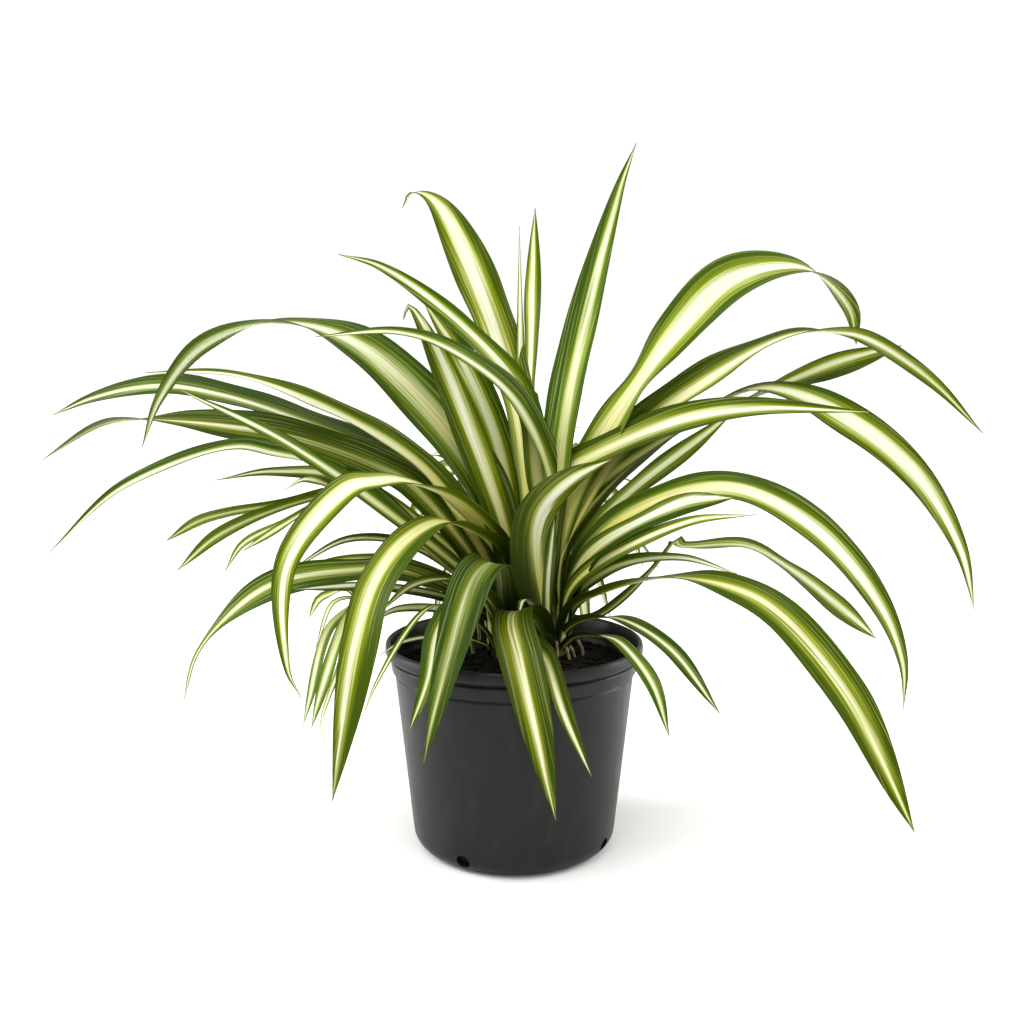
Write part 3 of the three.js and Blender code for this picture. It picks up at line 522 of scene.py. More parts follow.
def striped_leaf(name, shade_end, cream, pale, lime, green, deep, golden, shaded):
    """Waxy leaf blade with a cream band, green margins and fine streaks along it."""
    made, tree, shader = new_material(name)
    maps = {}
    for layer in ("place", "growth", "band", "rim", "side"):
        pair = add(tree, "ShaderNodeUVMap", uv_map=layer)
        maps[layer] = add(tree, "ShaderNodeSeparateXYZ", {0: pair.outputs["UV"]}).outputs
    across, along = maps["place"]["X"], maps["place"]["Y"]
    share, chance = maps["growth"]["X"], maps["growth"]["Y"]
    off_band, band = maps["band"]["X"], maps["band"]["Y"]
    edge, light = maps["rim"]["X"], maps["rim"]["Y"]
    under, tone = maps["side"]["X"], maps["side"]["Y"]

    def maths(operation, *values, clamp=False):
        inputs = dict(enumerate(values))
        return add(tree, "ShaderNodeMath", inputs, operation=operation, use_clamp=clamp).outputs[0]

    def times(first, second):
        return maths("MULTIPLY", first, second)

    def rise(value, low, high, start=0.0, end=1.0):
        inputs = {"Value": value, "From Min": low, "From Max": high, "To Min": start, "To Max": end}
        kind = "SMOOTHSTEP"
        return add(tree, "ShaderNodeMapRange", inputs, interpolation_type=kind).outputs[0]

    def streaks(wide, long, shift, detail):
        parts = {
            "X": maths("DIVIDE", across, wide),
            "Y": maths("DIVIDE", along, long),
            "Z": maths("MULTIPLY_ADD", chance, 61.0, shift),
        }
        place = add(tree, "ShaderNodeCombineXYZ", parts).outputs[0]
        inputs = {"Vector": place, "Scale": 1.0, "Detail": detail, "Roughness": 0.6}
        return add(tree, "ShaderNodeTexNoise", inputs).outputs["Fac"]

    def mixed(first, second, share_of_second, blend="MIX"):
        node = add(tree, "ShaderNodeMix", data_type="RGBA", blend_type=blend)
        for socket, value in ((0, share_of_second), (6, first), (7, second)):
            if isinstance(value, bpy.types.NodeSocket):
                tree.links.new(value, node.inputs[socket])
            else:
                node.inputs[socket].default_value = value
        return node.outputs[2]

    fine = streaks(VEIN_STEP, STREAK_LENGTH, shift=0.0, detail=2.0)
    second_fine = streaks(VEIN_STEP * 0.8, STREAK_LENGTH * 1.4, shift=17.0, detail=1.0)
    third_fine = streaks(VEIN_STEP * 1.7, STREAK_LENGTH * 1.8, shift=43.0, detail=1.0)
    blotch = streaks(BLOTCH_WIDTH, BLOTCH_LENGTH, shift=31.0, detail=1.0)

    narrowing = rise(share, 0.92, 1.0, 1.0, 0.5)
    limit = times(band, narrowing)
    limit = maths("ADD", limit, maths("MULTIPLY_ADD", fine, 0.5, -0.25))
    limit = maths("ADD", limit, maths("MULTIPLY_ADD", blotch, 0.3, -0.15))
    past = maths("SUBTRACT", off_band, limit)
    scaled = maths("MULTIPLY_ADD", past, 0.72, 0.45, clamp=True)
    stops = [
        (0.34, colour(cream)),
        (0.43, colour(pale)),
        (0.52, colour(lime)),
        (0.63, colour(green)),
        (0.84, colour(deep)),
    ]
    body = add(tree, "ShaderNodeValToRGB", {0: scaled}, stops=stops).outputs[0]
    inside, outside = rise(past, 0.0, -0.1), rise(past, 0.0, 0.12)
    pale_thread = times(rise(second_fine, 0.54, 0.66), 0.6)
    dark_thread = times(rise(third_fine, 0.5, 0.34), 0.55)
    body = mixed(body, colour(lime), times(pale_thread, inside))
    faint_thread = times(pale_thread, times(outside, 0.5))
    body = mixed(body, colour(lime), faint_thread)
    body = mixed(body, colour(deep), times(dark_thread, outside))
    body = mixed(body, colour(golden), times(rise(edge, 0.075, 0.01), 0.15))
    rim = times(rise(edge, 0.88, 0.98), 0.55)
    body = mixed(body, colour(deep), rim)
    dull = times(under, 0.07)
    body = mixed(body, colour("8f9a58"), dull)
    dry = times(rise(share, 0.975, 0.995), rise(chance, 0.2, 0.5))
    body = mixed(body, colour("7d6a3c"), dry)
    # How light a leaf is painted: random on most leaves, painted shade and light on stated ones.
    greenness = maths("MULTIPLY_ADD", outside, 0.75, 0.25)
    tint = {
        "Hue": maths("MULTIPLY_ADD", tone, -0.024, 0.512),
        "Saturation": maths("MULTIPLY_ADD", tone, 0.12, 0.97),
        "Value": maths("MULTIPLY_ADD", maths("SUBTRACT", light, 1.0), greenness, 1.0),
        "Color": body,
    }
    body = add(tree, "ShaderNodeHueSaturation", tint).outputs[0]
    # Painted light and shade: near the root the cream goes gold, lit through leaves, and darker.
    painted_crown_tint = times(rise(share, 0.68, 0.24), maths("SUBTRACT", 1.0, outside))
    body = mixed(body, colour(golden), painted_crown_tint, "MULTIPLY")
    # Painted shade: the green margins darken towards the root, where the crown shades them.
    foot = times(rise(along, shade_end, CROWN_SHADE_START), 0.9)
    body = mixed(body, colour(shaded), times(foot, outside), "MULTIPLY")
    tree.links.new(body, shader.inputs["Base Color"])
    roughness = maths("MULTIPLY_ADD", fine, 0.18, 0.38)
    tree.links.new(roughness, shader.inputs["Roughness"])
    relief(tree, shader, fine, strength=0.4, distance_mm=0.25)
    shader.inputs["IOR"].default_value = 1.42
    shader.inputs["Specular IOR Level"].default_value = 0.1
    return made


# Last two tones of each set: gold for the midrib and the painted crown light, then painted shade.
LEAF_TONES = ("e7e9d8", "dbdeba", "b8be80", "6f7f16", "354a00", "efe58c", "566628")
YOUNG_TONES = ("e7e9cc", "dadeac", "b6bd74", "7a8a30", "4c600c", "e8e2b8", "7c8048")
leaf_blade = striped_leaf("waxy striped leaf", CROWN_SHADE_END, *LEAF_TONES)
young_blade = striped_leaf("waxy young leaf", YOUNG_SHADE_END, *YOUNG_TONES)
print("materials", leaf_blade.name, "and", young_blade.name)

# %% [markdown]
# ## Pale stem finishes
# Where a leaf leaves the crown it has seen little light, so its base is a pale,
# translucent green with faint ribs. The core under the sheaths is darker and duller, and
# runners are a yellowish green that tans with age. Core, runners and root stubs are matt
# and waxy, so one function makes them, with ribs or spots from a stretched noise. The
# sheaths take the striped finish in darker, duller tones than the leaves, which paint the
# crown's shade on them, and the same painted crown shade towards the root.


# %% Stem materials
def stem_skin(name, pale, dark, roughness, rib_mm):
    """Matt waxy stem tissue with a noise of two tones, stretched along the stem."""
    made, tree, shader = new_material(name)
    mottle = noise_at(tree, rib_mm * MM, detail=3.0, stretch=(1, 1, 0.125))
    paint(tree, shader, mottle, (0.35, pale), (0.65, dark))
    shader.inputs["Roughness"].default_value = roughness
    relief(tree, shader, mottle, strength=0.4, distance_mm=0.3)
    return made


core_skin = stem_skin("crown tissue", "4a5226", "1d260c", roughness=0.6, rib_mm=1.6)
runner_skin = stem_skin("runner stem", "a3a568", "6d7a3c", roughness=0.5, rib_mm=1.2)
root_skin = stem_skin("fleshy root", "948a6c", "5f563f", roughness=0.6, rib_mm=1.0)
# Painted shade: the sheath tones are darker than the leaf tones, for the crown's shade.
SHADED_SHEATH_TONES = ("c9cf94", "b0b874", "8f9c48", "4c6018", "2c3f0a", "c0b068", "6f6a38")
sheath_skin = striped_leaf("pale leaf sheath", CROWN_SHADE_END, *SHADED_SHEATH_TONES)
print("stem finishes", core_skin.name, runner_skin.name, root_skin.name, sheath_skin.name)

# %% [markdown]
# ## Pot and soil finishes
# The pot is black polypropylene with a little grey filler, moulded against a lightly
# spark-eroded tool. That leaves a satin surface with a grain of about 0.4 mm, too fine to
# see singly, so it is drawn at 0.9 mm. Handling leaves faint paler scuffs and a film of
# dust. The potting mix is matt and nearly black, with browner fibres, and its bark chips
# are a little lighter. The near black is partly the dark peat's own colour and partly
# painted shade from the leaves above.

# %% Pot and soil materials
GRAIN = 0.9 * MM
SCUFF = 9 * MM

pot_plastic, tree, shader = new_material("moulded black polypropylene")
scuffs = noise_at(tree, SCUFF, detail=5.0, stretch=(1, 1, 0.35))
paint(tree, shader, scuffs, (0.3, "121212"), (0.55, "171716"), (0.75, "20201f"))
inputs = {"Value": scuffs, "From Min": 0.3, "From Max": 0.7, "To Min": 0.36, "To Max": 0.46}
satin = add(tree, "ShaderNodeMapRange", inputs)
tree.links.new(satin.outputs[0], shader.inputs["Roughness"])
relief(tree, shader, noise_at(tree, GRAIN, detail=2.0), strength=0.12, distance_mm=0.1)
shader.inputs["IOR"].default_value = 1.49
shader.inputs["Specular IOR Level"].default_value = 0.2


def crumb(name, dark, light, size):
    """Matt crumbly matter with two tones and a coarse relief."""
    made, tree, shader = new_material(name)
    grains = noise_at(tree, size, detail=6.0)
    paint(tree, shader, grains, (0.4, dark), (0.7, light))
    shader.inputs["Roughness"].default_value = 0.95
    shader.inputs["Specular IOR Level"].default_value = 0.1
    relief(tree, shader, grains, strength=0.9, distance_mm=0.6)
    return made


# Soil and bark are nearly black: partly their own colour, partly painted shade from leaves.
potting_mix = crumb("peat potting mix with painted shade", "070504", "140f0b", 1.8 * MM)
bark = crumb("bark chips", "0d0907", "281d14", 1.2 * MM)
print("finishes", pot_plastic.name, potting_mix.name, bark.name)

# %% [markdown]
# ## Building a blade
# A blade is swept along its midrib. The midrib is a smooth curve through the points, and
# every ring across it is a shallow channel: lowest at the midrib, lifted at both margins.
# The roll turns the ring about the midrib, which is how a leaf shows now its upper face
# and now its underside. Real margins wave a little, so each ring's two edges go up and
# down by a millimetre or so. The underside is a second skin just below, with a keel along
# the midrib. We could add thickness with a Solidify modifier, but then the keel and the
# thin margins would be lost, so both faces are built ring by ring.

# %% Blade geometry
SPLINE_STEPS = 40
LEAST_RINGS = 6
RING_STEP = 4.5 * MM
ACROSS = 13
CHANNEL_DEPTH = 0.16
CHANNEL_AT_ROOT = 1.6
CHANNEL_CURVE = 1.4
BLADE_THICKNESS = 0.7 * MM
MARGIN_THICKNESS = 0.3 * MM
THIN_BELOW = 4 * MM
LEAST_THICKNESS = 0.35
KEEL_HEIGHT = 0.35 * MM
KEEL_HALF_WIDTH = 1.0 * MM
TIP_WIDTH = 0.5 * MM
TAPER_POWER = 1.7
ROOT_WIDTH_SHARE = 0.5
WAVE_LENGTH = 62 * MM
WAVE_HEIGHT = 0.035
WAVE_CURVE = 2.2
WAVE_FADE = 1.1
ROLL_SPREAD = 3
BLADE_CREASE_DEG = 50
LOOK_ROOT_SHARE = 0.2
CREAM_BAND = (0.24, 0.4)
BAND_SHIFT = (-0.25, 0.25)
LEAF_LIGHT = (0.84, 1.1)


def smooth_line(points, step):
    """Evenly spaced points along a centripetal Catmull-Rom curve through the points."""
    fixed = [Vector(p) for p in points]
    ends = [fixed[0] * 2 - fixed[1], *fixed, fixed[-1] * 2 - fixed[-2]]
    dense = []
    for a, b, c, d in zip(ends, ends[1:], ends[2:], ends[3:]):
        t1 = (b - a).length ** 0.5
        t2 = t1 + (c - b).length ** 0.5
        t3 = t2 + (d - c).length ** 0.5
        for i in range(SPLINE_STEPS):
            t = t1 + (t2 - t1) * i / SPLINE_STEPS
            p1 = a * ((t1 - t) / t1) + b * (t / t1)
            p2 = b * ((t2 - t) / (t2 - t1)) + c * ((t - t1) / (t2 - t1))
            p3 = c * ((t3 - t) / (t3 - t2)) + d * ((t - t2) / (t3 - t2))
            q1 = p1 * ((t2 - t) / t2) + p2 * (t / t2)
            q2 = p2 * ((t3 - t) / (t3 - t1)) + p3 * ((t - t1) / (t3 - t1))
            dense.append(q1 * ((t2 - t) / (t2 - t1)) + q2 * ((t - t1) / (t2 - t1)))
    dense.append(fixed[-1])
    dense = np.array(dense)
    run = np.concatenate([[0], np.cumsum(np.linalg.norm(np.diff(dense, axis=0), axis=1))])
    count = max(LEAST_RINGS, round(run[-1] / step))
    even = np.linspace(0, run[-1], count + 1)
    line = np.stack([np.interp(even, run, dense[:, k]) for k in range(3)], axis=1)
    return line, run[-1]


def width_share(t, belly):
    """Share of the full width: a narrow foot, a full middle and a long taper."""
    opening = np.sin(np.clip(t / belly, 0, 1) * math.pi / 2)
    rising = ROOT_WIDTH_SHARE + (1 - ROOT_WIDTH_SHARE) * opening
    falling = 1 - np.clip((t - belly) / (1 - belly), 0, 1) ** TAPER_POWER
    return np.where(t < belly, rising, falling)


def unit(rows):
    """Each row divided by its own length."""
    return rows / np.linalg.norm(rows, axis=1, keepdims=True)


def blade(width, belly, rolls, points, look, tone, draw):
    """Vertices, faces and UV values of one blade. All lengths are in metres."""
    line, length = smooth_line(points, RING_STEP)
    rings = len(line)
    t = np.linspace(0, 1, rings)
    along = unit(np.gradient(line, axis=0))
    out = Vector((line[-1][0] - line[0][0], line[-1][1] - line[0][1], 0)).normalized()
    level = np.array((out.y, -out.x, 0.0))
    flat = unit(level - along * (along @ level)[:, None])
    up = np.cross(flat, along)
    knots = np.linspace(0, 1, len(rolls))
    roll = np.interp(t, knots, rolls)
    soft = np.ones(2 * ROLL_SPREAD + 1) / (2 * ROLL_SPREAD + 1)
    roll = np.convolve(np.pad(roll, ROLL_SPREAD, mode="edge"), soft, mode="valid")
    roll = np.radians(roll)[:, None]
    side = flat * np.cos(roll) - up * np.sin(roll)
    normal = up * np.cos(roll) + flat * np.sin(roll)
    half = np.maximum(width * width_share(t, belly), TIP_WIDTH) / 2

    x = np.linspace(-1, 1, ACROSS)
    lift = (half * CHANNEL_DEPTH * (CHANNEL_AT_ROOT - t))[:, None] * np.abs(x) ** CHANNEL_CURVE
    phases = draw.uniform(0, 2 * math.pi, 2)
    run = t * length
    for sign, phase in zip((-1, 1), phases):
        wave = np.sin(run / WAVE_LENGTH * 2 * math.pi + phase) * WAVE_HEIGHT * width
        swell = np.sin(np.clip(t * WAVE_FADE, 0, 1) * math.pi)
        lift += (wave * swell)[:, None] * np.clip(sign * x, 0, 1) ** WAVE_CURVE
    thin = MARGIN_THICKNESS + (BLADE_THICKNESS - MARGIN_THICKNESS) * (1 - np.abs(x) ** 2)
    keel = KEEL_HEIGHT * np.exp(-((x[None] * half[:, None] / KEEL_HALF_WIDTH) ** 2))
    slim = np.clip(half / THIN_BELOW, LEAST_THICKNESS, 1)[:, None]
    deep = thin[None] * slim + keel * (1 - t)[:, None]

    spread = x[None, :, None] * half[:, None, None]
    top = line[:, None] + side[:, None] * spread + normal[:, None] * lift[..., None]
    bottom = top - normal[:, None] * deep[..., None]
    ring = np.concatenate([top, bottom[:, ::-1]], axis=1)
    size = 2 * ACROSS
    vertices = ring.reshape(-1, 3)
    faces = strips(rings, size)
    for k in range(ACROSS - 1):
        a, b = k, k + 1
        c, d = size - 2 - k, size - 1 - k
        faces.append((d, c, b, a))
        last = (rings - 1) * size
        faces.append((last + a, last + b, last + c, last + d))

    band_low, band_high, shift_low, shift_high, light = look
    grown = np.clip((t - LOOK_ROOT_SHARE) / (1 - LOOK_ROOT_SHARE), 0, 1)[:, None]
    band = band_low + (band_high - band_low) * grown
    shift = shift_low + (shift_high - shift_low) * grown
    xs = np.concatenate([x, x[::-1]])
    across_m = xs[None] * half[:, None]
    along_m = np.repeat(run[:, None], size, axis=1)
    chance = draw.uniform(0, 1)
    under = np.concatenate([np.zeros(ACROSS), np.ones(ACROSS)])
    full = np.ones((rings, size))
    layers = {
        "place": np.stack([across_m, along_m], axis=-1),
        "growth": np.stack([full * t[:, None], full * chance], axis=-1),
        "band": np.stack([np.abs(xs - shift), full * band], axis=-1),
        "rim": np.stack([full * np.abs(xs), full * light], axis=-1),
        "side": np.stack([full * under, full * tone], axis=-1),
    }
    return vertices, faces, {name: v.reshape(-1, 2) for name, v in layers.items()}


def rosette(name, leaves, looks, material, seed):
    """One mesh of many blades. The look of each leaf is drawn at random or stated."""
    draw = np.random.default_rng(seed)
    vertices, faces, layers = [], [], {}
    count = 0
    for label, width, belly, rolls, points in leaves:
        bands, shifts = draw.uniform(*CREAM_BAND, 2), draw.uniform(*BAND_SHIFT, 2)
        drawn = (*bands, *shifts, draw.uniform(*LEAF_LIGHT))
        tone = draw.uniform(0, 1)
        look = looks.get(label, drawn)
        made = blade(width * MM, belly, rolls, in_metres(points), look, tone, draw)
        vertices.append(made[0])
        faces += [tuple(i + count for i in face) for face in made[1]]
        for key, values in made[2].items():
            layers.setdefault(key, []).append(values)
        count += len(made[0])
    joined = {key: np.concatenate(values) for key, values in layers.items()}
    piece = mesh_object(name, np.concatenate(vertices), faces, material, joined)
    piece.data.set_sharp_from_angle(angle=math.radians(BLADE_CREASE_DEG))
    print(name, len(leaves), "leaves,", len(faces) * 2, "triangles")
    return piece


# %% [markdown]
# ## Crowns
# All the leaves of a rosette grow out of one crown, a short thick foot just above the
# soil. Its outside is the stubs of leaf bases: pale, folded sheaths that wrap round each
# other. We build it from short blades that stand close round the crown's axis and lean
# out a little, over a rounded core that closes the gaps between them.

# %% Crowns
LEAF_ROOT_Z = 122
CROWN_FOOT_Z = 107
CROWN_TOP_Z = 150
CROWN_RADIUS = 12.5
CROWN_SIDES = 32
CROWNS = {"right": (24, 12), "left": (-6, 6), "back": (8, 40)}
SHEATHS = 13
SHEATH_DRIFT = (-0.2, 0.2)
SHEATH_SHARES = (0.72, 0.95)
SHEATH_LEANS = (3, 7)
SHEATH_MIDDLE_Z = 134
SHEATH_TOPS = (142, 164)
SHEATH_WIDTHS = (8, 12)
SHEATH_NARROWING = 0.3
SHEATH_SEED, BASE_SEED = 40, 50


def turned_mesh(name, profile, sides, material, centre=(0, 0)):
    """A smooth solid of revolution from radius and height pairs, in millimetres."""
    inner = [p for p in profile if p[0] > 0]
    angles = [2 * math.pi * k / sides for k in range(sides)]
    points = [polar(centre, radius, a, z) for radius, z in inner for a in angles]
    faces = strips(len(inner), sides)
    first, last = len(points), len(points) + 1
    points += [[*centre, profile[0][1]], [*centre, profile[-1][1]]]
    top = (len(inner) - 1) * sides
    for k in range(sides):
        faces.append((first, (k + 1) % sides, k))
        faces.append((last, top + k, top + (k + 1) % sides))
    return mesh_object(name, in_metres(points), faces, material)


def sheath_leaves(centre, seed):
    """Short broad blades that stand round a crown, as rows like those of the leaves."""
    draw = np.random.default_rng(seed)
    rows = []
    for k in range(SHEATHS):
        a = 2 * math.pi * (k + draw.uniform(*SHEATH_DRIFT)) / SHEATHS
        far = CROWN_RADIUS * draw.uniform(*SHEATH_SHARES)
        lean = draw.uniform(*SHEATH_LEANS)
        top = draw.uniform(*SHEATH_TOPS)
        foot = (far - 3, CROWN_FOOT_Z + 2)
        middle = (far + 1, SHEATH_MIDDLE_Z)
        spots = (foot, (far, LEAF_ROOT_Z), middle, (far + lean, top))
        points = [polar(centre, r, a, z) for r, z in spots]
        width = draw.uniform(*SHEATH_WIDTHS)
        rows.append((f"sheath {k}", width, SHEATH_NARROWING, [0, 0, 0], points))
    return rows


print("sheaths round each crown", SHEATHS)

# %% [markdown]
# ## The leaves at the back
# Nothing shows behind the plant in the photograph, but a real plant is as full there.
# These leaves follow a plain rule: each has a heading from the back crown, a reach, the
# height of its highest place and of its tip, and a width. The rule turns them into the
# same kind of route that the other leaves have.

# %% Back leaves by rule
ARCH_START = 5
ARCH_NARROWING = 0.5


def arch_leaf(number, deg, reach, high, tip, width):
    """A leaf row for one arch at the back."""
    a = math.radians(deg)
    rise, drop = high - LEAF_ROOT_Z, high - tip
    spots = (
        (0, LEAF_ROOT_Z),
        (0.07, LEAF_ROOT_Z + rise * 0.45),
        (0.26, LEAF_ROOT_Z + rise * 0.86),
        (0.5, high),
        (0.78, high - drop * 0.34),
        (1, tip),
    )
    points = [polar(CROWNS["back"], ARCH_START + reach * s, a, z) for s, z in spots]
    lean = 1 if number % 2 == 0 else -1
    rolls = [0, 15 * lean, 25 * lean, 10 * lean, -20 * lean]
    return (f"arch {number}", width, ARCH_NARROWING, rolls, points)


arches = [arch_leaf(number, *row) for number, row in enumerate(BACK_ARCHES)]
print("arches", len(arches))

# %% [markdown]
# ## Rosettes in place
# Each rosette replaces its solid, blade for blade. The look of a leaf is the share of its
# half width that is cream and how far the cream lies off the midrib, both near the root
# and at the tip, and how light the leaf is. It is drawn at random, but where the
# photograph shows it plainly it is stated, in a few steps. Left and right are as seen
# from the root along the leaf.
# A leaf stated darker carries painted shade, and one stated lighter carries painted light.

# %% Rosettes
HAIR, NARROW, MIDDLE, BROAD, FULL = 0.0, 0.1, 0.2, 0.34, 0.5
FAR_LEFT, LEFT, CENTRE, RIGHT, FAR_RIGHT = -0.5, -0.25, 0.0, 0.25, 0.5
# Painted shade darkens a stated leaf, and painted light lightens one.
PAINTED_SHADE, PLAIN, PAINTED_LIGHT = 0.75, 1.0, 1.2
LOOKS = {
    "right low arch": (HAIR, NARROW, CENTRE, CENTRE, PLAIN),
    "right low short": (NARROW, BROAD, RIGHT, CENTRE, PAINTED_LIGHT),
    "right kinked": (NARROW, MIDDLE, CENTRE, RIGHT, PLAIN),
    "right rim": (NARROW, NARROW, CENTRE, CENTRE, PAINTED_SHADE),
    "right rim short": (MIDDLE, NARROW, CENTRE, CENTRE, PLAIN),
    "right middle arch": (BROAD, MIDDLE, RIGHT, CENTRE, PLAIN),
    "right middle": (MIDDLE, BROAD, LEFT, LEFT, PAINTED_SHADE),
    "right middle thin": (NARROW, MIDDLE, CENTRE, CENTRE, PAINTED_LIGHT),
    "right level": (MIDDLE, MIDDLE, CENTRE, RIGHT, PLAIN),
    "front broad": (MIDDLE, MIDDLE, FAR_LEFT, CENTRE, PAINTED_SHADE),
    "right wide arch": (MIDDLE, BROAD, CENTRE, CENTRE, PLAIN),
    "right behind": (NARROW, NARROW, LEFT, LEFT, PLAIN),
    "right long arch": (BROAD, NARROW, FAR_RIGHT, CENTRE, PLAIN),
    "right high arch": (FULL, NARROW, CENTRE, CENTRE, PAINTED_LIGHT),
    "heart short": (BROAD, NARROW, CENTRE, CENTRE, PAINTED_LIGHT),
    "tall upright": (NARROW, NARROW, RIGHT, RIGHT, PAINTED_LIGHT),
    "crossing broad": (MIDDLE, MIDDLE, FAR_LEFT, LEFT, PLAIN),
    "crossing high": (BROAD, NARROW, CENTRE, CENTRE, PAINTED_LIGHT),
    "front hanging broad": (HAIR, NARROW, CENTRE, RIGHT, PAINTED_SHADE),
    "front hanging narrow": (NARROW, MIDDLE, FAR_RIGHT, RIGHT, PAINTED_SHADE),
    "front falling broad": (HAIR, HAIR, LEFT, RIGHT, PAINTED_SHADE),
    "front falling": (HAIR, NARROW, CENTRE, CENTRE, PLAIN),
    "left falling broad": (MIDDLE, NARROW, RIGHT, RIGHT, PLAIN),
    "left falling": (FULL, MIDDLE, RIGHT, LEFT, PAINTED_LIGHT),
    "left low arch": (HAIR, NARROW, RIGHT, CENTRE, PLAIN),
    "left upright": (MIDDLE, MIDDLE, RIGHT, RIGHT, PLAIN),
    "left high arch": (MIDDLE, MIDDLE, CENTRE, CENTRE, PLAIN),
    "left long upper": (BROAD, BROAD, FAR_LEFT, FAR_LEFT, PAINTED_LIGHT),
    "left long behind": (NARROW, NARROW, FAR_LEFT, CENTRE, PAINTED_SHADE),
    "left long level": (HAIR, HAIR, CENTRE, LEFT, PAINTED_SHADE),
    "left straight": (MIDDLE, MIDDLE, CENTRE, CENTRE, PAINTED_LIGHT),
    "left long thin": (BROAD, NARROW, FAR_LEFT, FAR_LEFT, PLAIN),
    "left low thin": (MIDDLE, BROAD, FAR_RIGHT, RIGHT, PAINTED_SHADE),
    "left inner": (NARROW, MIDDLE, LEFT, LEFT, PAINTED_LIGHT),
    "left rim thin": (NARROW, MIDDLE, CENTRE, CENTRE, PAINTED_LIGHT),
    "back tall broad": (BROAD, MIDDLE, LEFT, CENTRE, PAINTED_LIGHT),
    "back upright": (MIDDLE, MIDDLE, CENTRE, LEFT, PAINTED_LIGHT),
    "back left upright": (BROAD, NARROW, LEFT, LEFT, PAINTED_LIGHT),
    "back right": (NARROW, MIDDLE, LEFT, CENTRE, PAINTED_LIGHT),
    "back left thin": (NARROW, MIDDLE, FAR_RIGHT, CENTRE, PAINTED_SHADE),
    "back left short": (NARROW, MIDDLE, LEFT, CENTRE, PAINTED_SHADE),
    "young upper 1": (NARROW, NARROW, LEFT, CENTRE, PLAIN),
    "young upper 2": (NARROW, NARROW, LEFT, CENTRE, PLAIN),
    "young upper 3": (BROAD, NARROW, CENTRE, CENTRE, PAINTED_LIGHT),
    "young lower 1": (BROAD, MIDDLE, FAR_RIGHT, CENTRE, PLAIN),
    "young lower 2": (FULL, NARROW, CENTRE, RIGHT, PAINTED_LIGHT),
}
right = rosette("right_rosette_leaves", RIGHT_LEAVES, LOOKS, leaf_blade, seed=11)
left = rosette("left_rosette_leaves", LEFT_LEAVES, LOOKS, leaf_blade, seed=12)
back = rosette("back_rosette_leaves", BACK_LEAVES + arches, LOOKS, leaf_blade, seed=13)
upper = rosette("upper_young_leaves", UPPER_YOUNG, LOOKS, young_blade, seed=14)
lower = rosette("lower_young_leaves", LOWER_YOUNG, LOOKS, young_blade, seed=15)
for piece, node in (
    (right, "right_rosette"),
    (left, "left_rosette"),
    (back, "back_rosette"),
    (upper, "upper_young_plant"),
    (lower, "lower_young_plant"),
):
    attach(piece, "root")
    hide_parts(node)

crown_profile = [
    (0, CROWN_FOOT_Z),
    (CROWN_RADIUS * 0.72, CROWN_FOOT_Z),
    (CROWN_RADIUS * 0.8, 118),
    (CROWN_RADIUS * 0.82, 130),
    (CROWN_RADIUS * 0.6, 141),
    (CROWN_RADIUS * 0.3, CROWN_TOP_Z - 2),
    (0, CROWN_TOP_Z),
]
for number, (side, centre) in enumerate(CROWNS.items()):
    sheaths = sheath_leaves(centre, SHEATH_SEED + number)
    bases = rosette(f"{side}_crown_sheaths", sheaths, {}, sheath_skin, BASE_SEED + number)
    core = turned_mesh(f"{side}_crown_core", crown_profile, CROWN_SIDES, core_skin, centre)
    for piece in (bases, core):
        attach(piece, "root")

# %% [markdown]
# ## Runners
# A young plant hangs on a runner: a thin, tough stem that springs from between the
# leaves. It has a small swelling every few centimetres, where a bract sits. A swept tube
# whose radius swells at those joints gives it.

# %% Runners
RUNNER_RADIUS = 1.3
RUNNER_SIDES = 12
RUNNER_STEP = 3 * MM
BETWEEN_JOINTS = 0.85
JOINT_STEP = 38
JOINT_SWELL = 0.6
JOINT_HALF_LENGTH = 2.2


def tube(line, first, second, radii, sides, start=0, turned=False):
    """Vertices and faces of a closed tube, from two directions across it at each point."""
    vertices = []
    for place, a, b, r in zip(line, first, second, radii):
        for k in range(sides):
            turn = 2 * math.pi * k / sides
            vertices.append(place + (a * math.cos(turn) + b * math.sin(turn)) * r)
    faces = strips(len(line), sides, start, turned)
    foot = tuple(range(start, start + sides))
    head = tuple(i + (len(line) - 1) * sides for i in foot)
    faces += [foot, head[::-1]] if turned else [foot[::-1], head]
    return vertices, faces


def runner(name, points):
    """A round stem along a smooth line, with swollen joints."""
    line, length = smooth_line(in_metres(points), RUNNER_STEP)
    along = unit(np.gradient(line, axis=0))
    first = unit(np.cross(along, np.array((0.0, 1.0, 0.0))))
    second = np.cross(along, first)
    run = np.linspace(0, length / MM, len(line))
    gap = np.abs((run + JOINT_STEP / 2) % JOINT_STEP - JOINT_STEP / 2)
    swell = JOINT_SWELL * np.exp(-((gap / JOINT_HALF_LENGTH) ** 2))
    radii = (RUNNER_RADIUS * BETWEEN_JOINTS + swell) * MM
    stem = tube(line, first, second, radii, RUNNER_SIDES, turned=True)
    made = mesh_object(name, *stem, runner_skin)
    print(name, round(length / MM), "mm long")
    return made


for name, route in (("upper_runner", UPPER_RUNNER), ("lower_runner", LOWER_RUNNER)):
    piece = runner(name, route)
    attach(piece, "root")

# %% [markdown]
# ## Pot
# A nursery pot is polypropylene blown or moulded thin: a tapered wall with a rounded
# foot, a band and a rolled lip at the top with a dark undercut below each, and drain
# holes through the rounded corner. It is a solid of revolution, so we turn its outline
# with many sides. Every corner of the outline gets a small round, because moulded edges
# are never sharp and the rounds catch the light. A Boolean cuts the drain holes.

